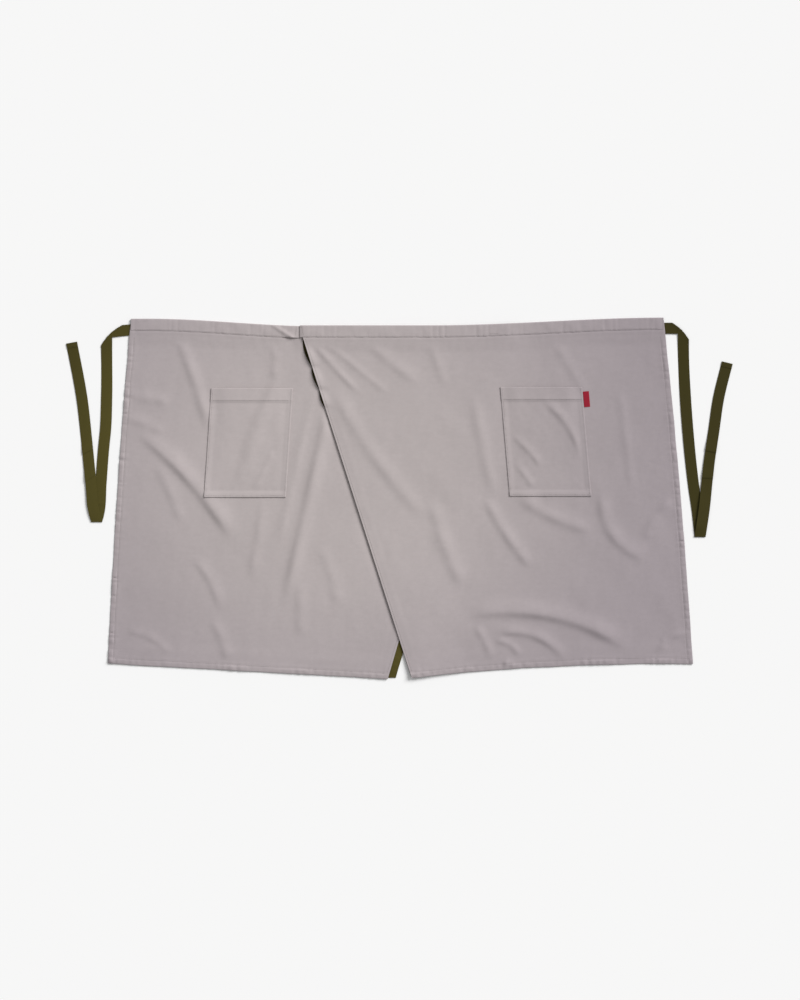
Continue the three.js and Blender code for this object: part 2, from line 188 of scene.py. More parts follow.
# ---- settings ----
class ApronSizes(bpy.types.PropertyGroup):
    """Sizes of the cloth's finish that can be changed without moving any piece"""

    cloth_thickness: bpy.props.FloatProperty(
        name="Cloth thickness", description="Thickness of the twill",
        default=0.45 * MM, unit="LENGTH", precision=5)
    mesh_step: bpy.props.FloatProperty(
        name="Mesh step", description="Distance between the vertices of a panel",
        default=2.9 * MM, unit="LENGTH", precision=5)
    stitch_pitch: bpy.props.FloatProperty(
        name="Stitch pitch", description="Distance from one stitch to the next",
        default=3.1 * MM, unit="LENGTH", precision=5)
    pucker: bpy.props.FloatProperty(
        name="Pucker", description="Height of the puckers along the hems",
        default=1.0 * MM, unit="LENGTH", precision=5)
    drape: bpy.props.FloatProperty(
        name="Drape", description="Height of the broad unevenness of the cloth",
        default=0.7 * MM, unit="LENGTH", precision=5)
    pocket_gape: bpy.props.FloatProperty(
        name="Pocket gape", description="How far a pocket's mouth stands open",
        default=1.6 * MM, unit="LENGTH", precision=5)


class ApronColors(bpy.types.PropertyGroup):
    """Colours of the apron's materials"""

    twill: bpy.props.FloatVectorProperty(
        name="Twill", description="Colour of the cloth", subtype="COLOR", size=3,
        default=(0.475, 0.425, 0.42), min=0, max=1)
    tape: bpy.props.FloatVectorProperty(
        name="Tape", description="Colour of the ties and inner tapes", subtype="COLOR", size=3,
        default=(0.122, 0.102, 0.021), min=0, max=1)
    # the stitch colour is darker than the twill: partly the thread's own tone and partly painted
    # shade of its stitch holes and of the gaps at the seams
    thread: bpy.props.FloatVectorProperty(
        name="Thread", description="Colour of the stitches in the cloth", subtype="COLOR", size=3,
        default=(0.27, 0.24, 0.237), min=0, max=1)
    tape_thread: bpy.props.FloatVectorProperty(
        name="Tape thread", description="Colour of the stitches in the ties", subtype="COLOR",
        size=3, default=(0.05, 0.043, 0.013), min=0, max=1)
    label: bpy.props.FloatVectorProperty(
        name="Label", description="Colour of the side label", subtype="COLOR", size=3,
        default=(0.30, 0.012, 0.028), min=0, max=1)


# ---- curves and noise ----
def smoothstep(value, low, high):
    t = np.clip((np.asarray(value, float) - low) / (high - low), 0, 1)
    return t * t * (3 - 2 * t)


def mix(a, b, t):
    return a + (b - a) * t


def edge_line(start, end, along, bow=0.0):
    """The edge between two corners, bowed by up to bow, keyed by x if along is 0 or by y if 1"""
    across = 1 - along

    def at(key):
        t = np.clip((key - start[along]) / (end[along] - start[along]), 0, 1)
        return mix(start[across], end[across], t) + bow * 4 * t * (1 - t)

    return at


def waist_line(level, rise, top):
    def at(x):
        t = (x - rise[0]) / (rise[1] - rise[0])
        return mix(level, top, smoothstep(t, 0, 1))

    return at


def cloth_noise(x, y, size, seed, stretch=1.0, turn=0.0):
    """Smooth noise between about -1 and 1, as a sum of waves of about this size"""
    rng = np.random.default_rng(seed)
    cos, sin = np.cos(turn), np.sin(turn)
    along = (x * cos + y * sin) / stretch
    across = y * cos - x * sin
    total = np.zeros(np.broadcast(x, y).shape)
    waves = 14
    for _ in range(waves):
        angle = rng.uniform(0, np.pi)
        length = size * rng.uniform(0.7, 1.6)
        phase = rng.uniform(0, 2 * np.pi)
        wave = along * np.cos(angle) + across * np.sin(angle)
        total += np.sin(wave * 2 * np.pi / length + phase)
    return total / np.sqrt(waves * 2.0)


def bell(distance, width):
    """1 at no distance, and falling smoothly to almost nothing at twice the width"""
    return np.exp(-((distance / width) ** 2))


def fold_points(place, start, end, bow):
    """Points along a fold, from its shares across and up"""
    start, end = np.array(place(*start), float), np.array(place(*end), float)
    run = end - start
    sideways = np.array([-run[1], run[0]]) * bow
    return [start + run * t + sideways * 4 * t * (1 - t) for t in np.linspace(0, 1, 13)]


def fold_height(x, y, place, fold):
    """Height of one fold, steep to the left of its crest and gentle to its right"""
    start, end, bow, height, steep, gentle = fold
    points = fold_points(place, start, end, bow)
    best = np.full(x.shape, np.inf)
    side, share = np.zeros(x.shape), np.zeros(x.shape)
    for i, ((ax, ay), (bx, by)) in enumerate(zip(points, points[1:])):
        run = np.hypot(bx - ax, by - ay)
        ux, uy = (bx - ax) / run, (by - ay) / run
        t = np.clip((x - ax) * ux + (y - ay) * uy, 0, run)
        dx, dy = x - ax - t * ux, y - ay - t * uy
        away = np.hypot(dx, dy)
        nearer = away < best
        best = np.where(nearer, away, best)
        side = np.where(nearer, np.sign(dx * 0.75 + dy * 0.66), side)
        share = np.where(nearer, (i + t / run) / (len(points) - 1), share)
    width = np.where(side < 0, steep, gentle) * MM
    ends = smoothstep(share, 0, FOLD_FADE) * smoothstep(1 - share, 0, FOLD_FADE)
    along = 0.85 + 0.15 * np.sin(share * 17 + height * 5)
    return height * MM * ends * along * bell(best, width)


# ---- the two panels ----
under_inner = edge_line(UNDER_CORNERS["inner_foot"], UNDER_CORNERS["inner_top"], 1)
over_inner = edge_line(OVER_CORNERS["inner_foot"], OVER_CORNERS["inner_top"], 1)


def over_ramp_start(y):
    return np.maximum(under_inner(y) + TAPE_SHOWING + 3 * MM, over_inner(y) + TAPE_WIDTH + 2 * MM)


def over_cover(x, y):
    """1 where the over panel lies on the under one, down to 0 on the surface beside it"""
    return 1 - smoothstep(x - over_ramp_start(y), 0, OVER_RAMP)


def edge_gap(y):
    """How far the over panel's inner edge stands away from the tape at this y"""
    gap = np.zeros_like(np.asarray(y, float))
    for middle, half, width in EDGE_GAPS:
        gap = np.maximum(gap, width * np.clip(1 - ((y - middle) / half) ** 2, 0, 1))
    return gap


def over_band_share(x):
    return smoothstep(x, *OVER_BAND_RAMP)


UNDER = {
    "name": "left", "outward": -1, "corners": UNDER_CORNERS, "seed": 11,
    "side": edge_line(UNDER_CORNERS["foot"], UNDER_CORNERS["waist"], 1, -SIDE_BOW),
    "inner": under_inner,
    "hem": edge_line(UNDER_CORNERS["foot"], UNDER_CORNERS["inner_foot"], 0),
    "waist": waist_line(0.3095, (-0.150, -0.450), UNDER_CORNERS["waist"][1]),
    "base": lambda x, y: LAYER * (1 - smoothstep(under_inner(y) - x, *UNDER_TAPED_RAMP)),
    "band_base": lambda x: np.zeros_like(x),
    "folds": UNDER_FOLDS,
    "free": lambda x, y: smoothstep(over_inner(y) - x, -2 * MM, 14 * MM),
    "band": (UNDER_CORNERS["waist"][0], UNDER_BAND_END),
    "pocket": UNDER_POCKET, "pocket_folds": UNDER_POCKET_FOLDS,
}
OVER = {
    "name": "right", "outward": 1, "corners": OVER_CORNERS, "seed": 23,
    "side": edge_line(OVER_CORNERS["foot"], OVER_CORNERS["waist"], 1, SIDE_BOW),
    "inner": over_inner,
    "hem": edge_line(OVER_CORNERS["foot"], OVER_CORNERS["inner_foot"], 0, OVER_HEM_RISE),
    "waist": waist_line(0.311, (0.060, 0.473), OVER_CORNERS["waist"][1]),
    "base": lambda x, y: OVER_LIFT * over_cover(x, y),
    "band_base": lambda x: 4 * LAYER * (1 - over_band_share(x)),
    "folds": OVER_FOLDS,
    "free": lambda x, y: np.ones_like(x),
    "band": (OVER_BAND_END, OVER_CORNERS["waist"][0]),
    "pocket": OVER_POCKET, "pocket_folds": OVER_POCKET_FOLDS,
}
PANELS = (UNDER, OVER)

# Turned hems: radius of each fold, and how far the turned cloth reaches back
SIDE_RADIUS, SIDE_TURN = 0.25 * MM, 10 * MM
BOTTOM_RADIUS, BOTTOM_TURN = 0.75 * MM, 11 * MM
POCKET_RADIUS, POCKET_TURN, MOUTH_TURN = 0.55 * MM, 7 * MM, 22 * MM
HEM_ZONE = 15 * MM  # from a panel's edge to where its mesh steps become even


def panel_place(panel, across, up):
    """The point of a panel at these shares across from its side seam and up from its hem"""
    corners = panel["corners"]
    foot_x = mix(corners["foot"][0], corners["inner_foot"][0], across)
    y = mix(panel["hem"](foot_x), panel["waist"](foot_x) - BAND_HEIGHT, up)
    return mix(panel["side"](y), panel["inner"](y), across), y


def hem_distances(panel, x, y):
    """Distances in from the side seam, up from the hem, and in from the inner edge"""
    from_side = np.abs(x - panel["side"](y))
    from_hem = y - panel["hem"](x)
    from_inner = np.abs(panel["inner"](y) - x)
    return from_side, from_hem, from_inner


def panel_height(panel, x, y):
    """Height of the middle of a panel's cloth"""
    sizes = bpy.context.scene.apron_sizes
    seed = panel["seed"]
    from_side, from_hem, from_inner = hem_distances(panel, x, y)
    free = panel["free"](x, y)
    below_band = smoothstep(panel["waist"](x) - BAND_HEIGHT - y, -1 * MM, 24 * MM)
    edges = smoothstep(from_side, 6 * MM, 34 * MM) * smoothstep(from_hem, 8 * MM, 34 * MM)
    inland = edges * smoothstep(from_inner, 2 * MM, 26 * MM) * free * below_band

    # broad unevenness and small rumples
    broad = 0.5 + 0.5 * cloth_noise(x, y, 0.110, seed + 15)
    rumple = 0.5 + 0.5 * cloth_noise(x, y, 0.034, seed + 1, 1.9, 1.2)
    fine = 0.5 + 0.5 * cloth_noise(x, y, 0.012, seed + 2, 1.6, 0.5)
    patch = 0.6 + 0.4 * cloth_noise(x, y, 0.090, seed + 16)
    small = 0.62 * MM * np.clip(rumple, 0, 1.5) + 0.15 * MM * np.clip(fine, 0, 1.5)
    loose = sizes.drape * np.clip(broad, 0, 1.4) + small * np.clip(patch, 0.25, 1.2)
    height = loose * inland

    # the few strong folds
    near_edge = smoothstep(from_side, 0, 12 * MM) * smoothstep(from_hem, 0, 12 * MM)
    for fold in panel["folds"]:
        crest = fold_height(x, y, partial(panel_place, panel), fold)
        height += crest * (0.35 + 0.65 * near_edge) * free * below_band

    # turned hems hold the cloth up; their stitching pulls it down and puckers it
    side_step = 2 * SIDE_RADIUS * (1 - smoothstep(from_side, 9 * MM, 34 * MM))
    bottom_step = 2 * BOTTOM_RADIUS * (1 - smoothstep(from_hem, 10 * MM, 48 * MM))
    height += np.maximum(side_step, bottom_step)
    hem = 2 * sizes.pucker
    height += hem_pucker(hem, from_side, y, HEM_SEAM["side"], seed, 16 * MM)
    height += hem_pucker(hem, from_hem, x, HEM_SEAM["bottom"], seed + 5) * free
    inner = hem_pucker(sizes.pucker * 0.5, from_inner, y, HEM_SEAM["inner"], seed + 7)
    height += inner * free
    if panel is OVER:
        # the tape beneath shows as a low step, and the edge arches where it stands off
        height += 0.40 * MM * (1 - smoothstep(from_inner, 17 * MM, 21 * MM))
        height += 0.8 * edge_gap(y) * (1 - smoothstep(from_inner, 0, 16 * MM))
    return panel["base"](x, y) + MID + height


def tucks(along, spacing, seed):
    """0 along smooth cloth and up to 1 in narrow creases about this far apart"""
    warp = cloth_noise(along, along * 0, 0.030, seed) * 2.4
    return np.clip(np.sin(along * 2 * np.pi / spacing + warp), 0, 1) ** 4


def hem_pucker(size, distance, along, seam, seed, spacing=12 * MM):
    """Creases across a sewn hem, deepest between its stitching and its edge"""
    ripple = 1 - tucks(along, spacing, seed)
    strength = 0.55 + 0.45 * cloth_noise(along, along * 0, 0.070, seed + 1)
    zone = bell(distance - seam * 0.55, seam * 0.75)
    groove = bell(distance - seam, 1.3 * MM)
    return size * np.clip(strength, 0.1, 1.2) * ripple * zone * (1 - 0.8 * groove)


def beside_notch(x):
    """1 where the under panel hangs away from its band, just before the over panel covers both"""
    return bell(x - OVER_BAND_END + 15 * MM, 11 * MM)


def top_height(panel, x, y):
    """Height of a panel's cloth, carried from the skirt up to its level inside the waistband"""
    low = panel_height(panel, x, np.minimum(y, HINGE_Y + 12 * MM))
    level = panel["band_base"](x) + 2 * LAYER + MID
    gather = 0.22 * MM * cloth_noise(x, y * 0.15, 0.012, panel["seed"] + 9)
    band_foot = panel["waist"](x) - BAND_HEIGHT
    climb = smoothstep(y, band_foot - 30 * MM, band_foot - 9 * MM)
    fade = 1 - smoothstep(y, band_foot - 1 * MM, band_foot + 2 * MM)
    near = smoothstep(y, band_foot - 34 * MM, band_foot - 5 * MM)
    gathered = gather * near * fade * panel["free"](x, y)
    sag = beside_notch(x) * near if panel is UNDER else 0.0
    # the cloth swells up against the foot of the band
    swell = 0.55 * MM * bell(y - band_foot + 3 * MM, 4 * MM) * panel["free"](x, y)
    return mix(low, level, climb) + np.maximum(gathered, -0.1 * MM) - 1.3 * MM * sag + swell


# ---- meshes ----
def new_object(name, vertices, faces, uvs=None):
    mesh = bpy.data.meshes.new(name)
    mesh.from_pydata(np.asarray(vertices).tolist(), [], faces)
    if uvs is not None:
        layer = mesh.uv_layers.new(name="cloth")
        index = np.zeros(len(mesh.loops), dtype=np.int32)
        mesh.loops.foreach_get("vertex_index", index)
        layer.data.foreach_set("uv", np.asarray(uvs, np.float32)[index].ravel())
    mesh.validate()
    mesh.update()
    piece = bpy.data.objects.new(name, mesh)
    bpy.context.scene.collection.objects.link(piece)
    return piece


def grid_faces(rows, columns, flip=False):
    """Quads between the rows and columns of a grid of vertices"""
    index = np.arange(rows * columns).reshape(rows, columns)
    a, b = index[:-1, :-1].ravel(), index[:-1, 1:].ravel()
    c, d = index[1:, 1:].ravel(), index[1:, :-1].ravel()
    quads = np.stack([a, b, c, d] if not flip else [d, c, b, a], axis=1)
    return quads.tolist()


def grid_object(name, x, y, z, uv, flip):
    vertices = np.stack([x, y, z], axis=-1).reshape(-1, 3)
    return new_object(name, vertices, grid_faces(*x.shape, flip), uv.reshape(-1, 2))


def deselect_all():
    for chosen in bpy.context.selected_objects:
        chosen.select_set(False)


def select_only(piece):
    deselect_all()
    piece.select_set(True)
    bpy.context.view_layer.objects.active = piece


def finish_cloth(piece, thickness, material):
    """Gives a single sheet its thickness, smooths its shading and puts its material on"""
    select_only(piece)
    solid = piece.modifiers.new("Thickness", "SOLIDIFY")
    solid.thickness = thickness
    solid.offset = 0
    bpy.ops.object.modifier_apply(modifier=solid.name)
    bpy.ops.object.shade_smooth_by_angle(angle=np.radians(50))
    piece.data.materials.clear()
    piece.data.materials.append(material)


def fold_stations(distances, reach, radius):
    """Stations of a cloth edge turned under, from its raw edge round the fold and over distances

    Gives each one's distance in from the edge, its angle round the fold and whether it is on it.
    """
    back = np.linspace(reach, radius * 1.6, max(3, int(reach / (2.4 * MM))))
    arc = np.linspace(np.pi, 0, 5)
    front = np.array([d for d in distances if d > radius * 1.6])
    flat = np.concatenate([back, 0 * arc, front])
    angle = np.concatenate([np.full(len(back), np.pi), arc, 0 * front])
    on_arc = np.repeat([False, True, False], [len(back), len(arc), len(front)])
    return flat, angle, on_arc


def fold_offset(flat, angle, on_arc, radius, depth=0.0):
    """Distance in and drop of cloth lying depth above the main layer, round a fold"""
    reach = radius + depth
    curved = radius - reach * np.sin(angle)
    distance = np.where(on_arc, curved, flat)
    return distance, reach * np.cos(angle) - radius


def panel_grid(panel, step_across, step_up):
    """Vertices of a whole panel, with its side and bottom hems turned under"""
    corners = panel["corners"]
    near = np.array([1.5, 3, 4.5, 6, 7.5, 9, 10.5, 12.5, 15]) * MM
    width = abs(corners["inner_foot"][0] - corners["foot"][0])
    field = np.linspace(HEM_ZONE, width, int((width - HEM_ZONE) / step_across))[1:]
    c_flat, c_angle, c_arc = fold_stations([*near, *field], SIDE_TURN, SIDE_RADIUS)
    height = corners["waist"][1] - corners["foot"][1]
    rise = np.linspace(HEM_ZONE, height, int((height - HEM_ZONE) / step_up))[1:]
    r_flat, r_angle, r_arc = fold_stations([*near, *rise], BOTTOM_TURN, BOTTOM_RADIUS)

    side_in, side_drop = fold_offset(c_flat, c_angle, c_arc, SIDE_RADIUS)
    side_in, side_drop = side_in[None, :], side_drop[None, :]
    hem_up, drop = fold_offset(
        r_flat[:, None], r_angle[:, None], r_arc[:, None], BOTTOM_RADIUS, side_drop)

    # past the hem zones, distances become shares of the panel's own width and height
    foot_share = np.clip(side_in / width, 0, 1)
    foot_x = mix(corners["foot"][0], corners["inner_foot"][0], foot_share)
    top = panel["waist"](mix(corners["waist"][0], panel["inner"](HINGE_Y), foot_share)) - 4 * MM
    bottom = panel["hem"](foot_x)
    y = bottom + hem_up * mix(1.0, (top - bottom) / height, smoothstep(hem_up, 0.02, height))
    run = np.abs(panel["inner"](y) - panel["side"](y))
    inward = side_in * mix(1.0, run / width, smoothstep(side_in, 0.02, width))
    x = panel["side"](y) - panel["outward"] * inward
    return x, y, drop


def make_panel(panel, material):
    sizes = bpy.context.scene.apron_sizes
    step = sizes.mesh_step * 1
    x, y, drop = panel_grid(panel, 1.25 * step, 0.85 * step)
    z = top_height(panel, x, y) + drop
    # edges wander a little, as a cut and sewn edge does
    wander = 0.35 * MM * cloth_noise(y, x * 0, 0.060, panel["seed"] + 3)
    from_side, from_hem, _ = hem_distances(panel, x, y)
    x = x + wander * (1 - smoothstep(from_side, 0, 30 * MM))
    dip = 0.35 * MM * cloth_noise(x, y * 0, 0.070, panel["seed"] + 4)
    y = y + dip * (1 - smoothstep(from_hem, 0, 30 * MM))
    uv = np.stack([x, y], axis=-1)
    name = f"{panel['name']}_panel_cloth"
    piece = grid_object(name, x, y, z, uv, flip=panel["outward"] > 0)
    finish_cloth(piece, sizes.cloth_thickness, material)
    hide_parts(f"{panel['name']}_panel", f"{panel['name']}_panel_top")
    blend_over_hinge(piece)
    panel_area(panel)


def panel_area(panel):
    """Flat area of a panel's cut cloth, hems included"""
    half = 0.310
    y = np.linspace(-half, half, 60)
    width = np.abs(panel["inner"](y) - panel["side"](y)) + SIDE_TURN
    return float(np.mean(width) * (2 * half + BOTTOM_TURN))


def blend_over_hinge(piece):
    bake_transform(piece)


# ---- tapes ----
def ribbon(name, centres, sides, width, columns, lift=None, flip=False):
    """A flat strip: one row of vertices for each centre, across its side direction"""
    centres, sides = np.asarray(centres, float), np.asarray(sides, float)
    share = np.linspace(-0.5, 0.5, columns)
    widths = np.broadcast_to(width, len(centres))
    offsets = share[None, :, None] * widths[:, None, None]
    points = centres[:, None, :] + sides[:, None, :] * offsets
    if lift is not None:
        points[..., 2] += lift(share[None, :], np.arange(len(centres))[:, None])
    length = line_lengths(centres)
    uv = np.stack(np.broadcast_arrays(share[None, :] * TAPE_WIDTH, length[:, None]), axis=-1)
    vertices = points.reshape(-1, 3)
    faces = grid_faces(len(centres), columns, flip)
    return new_object(name, vertices, faces, uv.reshape(-1, 2))


def make_inner_tape(panel, material):
    """The tape sewn under a panel's inner edge"""
    name = panel["name"]
    y = np.arange(panel["corners"]["inner_foot"][1] + 2 * MM, HINGE_Y + 12 * MM, 2.5 * MM)
    over = panel is OVER
    if over:
        # it peeps out from under the cloth's edge where that stands off
        x = panel["inner"](y) + TAPE_WIDTH / 2 - edge_gap(y) - 0.6 * MM
        z = np.full_like(y, OVER_TAPE_Z + MID)
    else:
        wander = 0.6 * MM * cloth_noise(y, y * 0, 0.055, panel["seed"] + 40)
        x = panel["inner"](y) + TAPE_SHOWING - TAPE_WIDTH / 2 + wander
        z = np.full_like(y, MID + 0.02 * MM)
    centres = np.stack([x, y, z], axis=1)
    sides = np.tile([1.0, 0.0, 0.0], (len(y), 1))

    def lift(share, row):
        # the part past the cloth's edge is cockled
        smooth = 1 - tucks(y[row] + share * 7 * MM, 11 * MM, panel["seed"] + 41)
        return 0.0 if over else 0.5 * MM * smooth * smoothstep(share, -0.15, 0.05)

    piece = ribbon(f"{name}_inner_tape_strip", centres, sides, TAPE_WIDTH, 9, lift, flip=True)
    finish_cloth(piece, 0.45 * MM, material)
    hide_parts(f"{name}_inner_tape")
    blend_over_hinge(piece)


def line_lengths(points):
    """Distance of each point along the line through all of them"""
    gaps = np.linalg.norm(np.diff(points, axis=0), axis=1)
    return np.concatenate([[0], np.cumsum(gaps)])


def resample(points, step):
    """Points this far apart along a smooth curve through the given ones"""
    points = np.asarray(points, float)
    at = line_lengths(points)
    gaps = np.diff(at)
    slopes = np.gradient(points, at, axis=0)
    wanted = np.linspace(0, at[-1], max(4, int(at[-1] / step) + 1))
    i = np.clip(np.searchsorted(at, wanted, side="right") - 1, 0, len(gaps) - 1)
    h = gaps[i][:, None]
    t = ((wanted - at[i]) / gaps[i])[:, None]
    a, b = points[i], points[i + 1]
    da, db = slopes[i] * h, slopes[i + 1] * h
    t2, t3 = t * t, t * t * t
    values = (2 * t3 - 3 * t2 + 1) * a + (3 * t2 - 2 * t3) * b
    return values + (t3 - 2 * t2 + t) * da + (t3 - t2) * db


def flat_sides(centres):
    """Unit directions across a strip that lies flat, from the run of its centres"""
    run = np.gradient(centres, axis=0)[:, :2]
    run = run / np.maximum(np.linalg.norm(run, axis=1), 1e-9)[:, None]
    return np.stack([-run[:, 1], run[:, 0], np.zeros(len(run))], axis=1)


TIE_STEP = 1.1 * MM
SEWN_IN = 25 * MM  # the length of a tie inside the waist


def tie_route(panel, tie):
    """Centres of one tie up to its fold, and from its fold to its free end"""
    outward = panel["outward"]
    exit_x, exit_y = tie["exit"]
    corner_x, corner_y = tie["corner"]
    radius = TAPE_WIDTH / 2 + 0.6 * MM
    inner_x, inner_y = corner_x - outward * radius, corner_y - radius
    sewn = [exit_x - outward * SEWN_IN, exit_y, LAYER]
    leaving = [exit_x, exit_y, LAYER]
    turning = [inner_x - outward * 1 * MM, corner_y, LAYER + 0.4 * MM]
    straight = resample([sewn, leaving, turning], TIE_STEP)
    angles = np.linspace(np.pi / 2, 0, 19)
    bend = np.stack([inner_x + outward * radius * np.cos(angles),
                     inner_y + radius * np.sin(angles),
                     np.full(19, LAYER + 0.7 * MM)], axis=1)
    down = [[corner_x, inner_y - 4 * MM, LAYER + 0.4 * MM]]
    down = resample(down + [p for p in tie["down"] if p[1] < inner_y - 8 * MM], TIE_STEP)
    up = resample(tie["up"], TIE_STEP)
    return np.concatenate([straight, bend, down]), up, (inner_x, inner_y)


def tie_strip(panel, tie):
    """Centres and side directions of a whole tie, and the distance along it to its fold"""
    outward = panel["outward"]
    first, up, inner = tie_route(panel, tie)
    sides = flat_sides(first)
    fold = first[-1]
    arc = np.linspace(0, np.pi, 7)[1:-1]
    half = (up[0][2] - fold[2]) / 2
    turn = np.stack([np.full(len(arc), fold[0]), fold[1] - half * 1.3 * np.sin(arc),
                     fold[2] + half * (1 - np.cos(arc))], axis=1)
    centres = np.concatenate([first, turn, up])
    level = np.array([-outward * 1.0, 0, 0]) * np.sign(sides[-1][0]) * -outward
    spread = smoothstep(np.arange(len(up)), 0, 14)[:, None]
    up_sides = mix(level, -flat_sides(up), spread)
    settle = smoothstep(np.arange(len(first)), len(first) - 12, len(first) - 1)[:, None]
    sides = mix(sides, level, settle)
    turn_sides = np.tile(level, (len(turn), 1))
    sides = np.concatenate([sides, turn_sides, up_sides])
    sides = sides / np.linalg.norm(sides, axis=1)[:, None]
    length = line_lengths(centres)
    return centres, sides, length, length[len(first) - 1], inner


def folded_under(points, inner, outward, reach):
    """Points of a tie, the outer part of its corner folded under itself along a bowed diagonal"""
    points = points.copy()
    normal = np.array([outward, 1.0]) / np.sqrt(2)
    tangent = np.array([-normal[1], normal[0]])
    away = points[:, :2] - np.array(inner)
    sideways = away @ tangent
    past = away @ normal - reach - 1.3 * MM + sideways**2 * 6
    near = np.linalg.norm(away, axis=1) < 27 * MM
    over = np.where(near, np.clip(past, 0, None), 0)
    room = reach - 0.5 * MM
    points[:, :2] -= (over + room * np.tanh(over / room))[:, None] * normal
    points[:, 2] -= 0.62 * MM * smoothstep(over, 0, 0.8 * MM)
    crown = np.where(near, np.clip(1 - np.abs(past) / (6 * MM), 0, 1), 0)
    points[:, 2] += 0.5 * MM * crown * (past < 0)
    return points


def fold_corner_under(piece, inner, outward, reach):
    points = np.zeros(len(piece.data.vertices) * 3)
    piece.data.vertices.foreach_get("co", points)
    points = folded_under(points.reshape(-1, 3), inner, outward, reach)
    piece.data.vertices.foreach_set("co", points.ravel())
    piece.data.update()


def make_tie(panel, tie, material, thread):
    name = panel["name"]
    outward = panel["outward"]
    centres, sides, length, fold_at, inner = tie_strip(panel, tie)

    def lift(share, row):
        at = length[row]
        past_fold = at - fold_at
        rise = 0.10 * MM * (1 - (2 * share) ** 2) + 0.12 * MM * (1 + np.sin(at / (31 * MM)))
        rise = rise * smoothstep(at, 0.08, 0.12)
        for distance, lean in TIE_CREASES[name]:
            place = past_fold - distance + share * lean
            step = smoothstep(place, -0.8 * MM, 1.4 * MM) * (1 - smoothstep(place, 1 * MM, 24 * MM))
            rise = rise + 1.15 * MM * step
        crease_before = bell(past_fold + 34 * MM, 3 * MM)
        # the returning leg stands off the other one along its left edge
        standing = smoothstep(past_fold, 2 * MM, 22 * MM)
        standing = standing * (1 - smoothstep(past_fold, 55 * MM, 105 * MM))
        leftward = 0.5 - share * sides[row, 0]
        return rise + 0.3 * MM * crease_before + TIE_STAND_OFF[name] * leftward * standing

    piece = ribbon(f"{name}_tie_tape_strip", centres, sides, TAPE_WIDTH, 15, lift, flip=outward > 0)
    fold_corner_under(piece, inner, outward, TIE_CORNER_FOLD[name])
    finish_cloth(piece, 0.5 * MM, material)

    end, before = centres[-1], centres[-6]
    back = (before - end) / np.linalg.norm(before - end)
    across = sides[-1]
    hem_centres = [end + back * d * MM + np.array([0, 0, 0.62 * MM])
                   for d in (-0.2, 1.5, 3, 5, 7, 9)]
    hem_centres[0][2] -= 0.3 * MM
    hem = ribbon(f"{name}_tie_hem", hem_centres, [across] * 6, TAPE_WIDTH, 9, flip=outward < 0)
    finish_cloth(hem, 0.45 * MM, material)
    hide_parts(f"{name}_tie_end_hem")
    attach(hem, f"{name}_tie_tape")

    line = [end + back * 7 * MM + across * s + np.array([0, 0, 0.92 * MM])
            for s in np.linspace(-8.5 * MM, 8.5 * MM, 12)]
    seam = sew(f"{name}_tie_end_stitches", [np.array(line)], thread,
               f"{name}_tie_end_seam", f"{name}_tie_tape")

    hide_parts(f"{name}_tie_root", f"{name}_tie")
    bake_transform(piece)

    path = folded_under(centres, inner, outward, TIE_CORNER_FOLD[name])


# ---- stitches ----
ROW_STEP = 2 * MM  # between the points that a row of stitches follows


def select_end(piece, end):
    """In edit mode, selects only the faces that look along X towards this end"""
    shell = bmesh.from_edit_mesh(piece.data)
    for face in shell.faces:
        face.select_set(face.normal.x * end > 0.9)
    bmesh.update_edit_mesh(piece.data)


def stitch_shape(length, radius):
    """Vertices and faces of one stitch along X: a short thread whose ends taper into the cloth"""
    deselect_all()
    bpy.ops.mesh.primitive_cylinder_add(
        vertices=6, radius=radius, depth=0.6 * length, rotation=(0, np.pi / 2, 0))
    stitch = bpy.context.object
    bpy.ops.object.transform_apply(location=False, rotation=True, scale=False)
    bpy.ops.object.mode_set(mode="EDIT")
    bpy.ops.mesh.select_mode(type="FACE")
    for end in (-1, 1):
        select_end(stitch, end)
        sink = {"value": (end * 0.2 * length, 0, -0.8 * radius)}
        bpy.ops.mesh.extrude_region_move(TRANSFORM_OT_translate=sink)
        bpy.ops.transform.resize(
            value=(1, 0.4, 0.4), center_override=(end * 0.5 * length, 0, -0.8 * radius))
    bpy.ops.mesh.select_all(action="SELECT")
    bpy.ops.mesh.normals_make_consistent(inside=False)
    bpy.ops.object.mode_set(mode="OBJECT")
    vertices = np.array([vertex.co[:] for vertex in stitch.data.vertices])
    faces = [list(face.vertices) for face in stitch.data.polygons]
    mesh = stitch.data
    bpy.data.objects.remove(stitch)
    bpy.data.meshes.remove(mesh)
    return vertices, faces


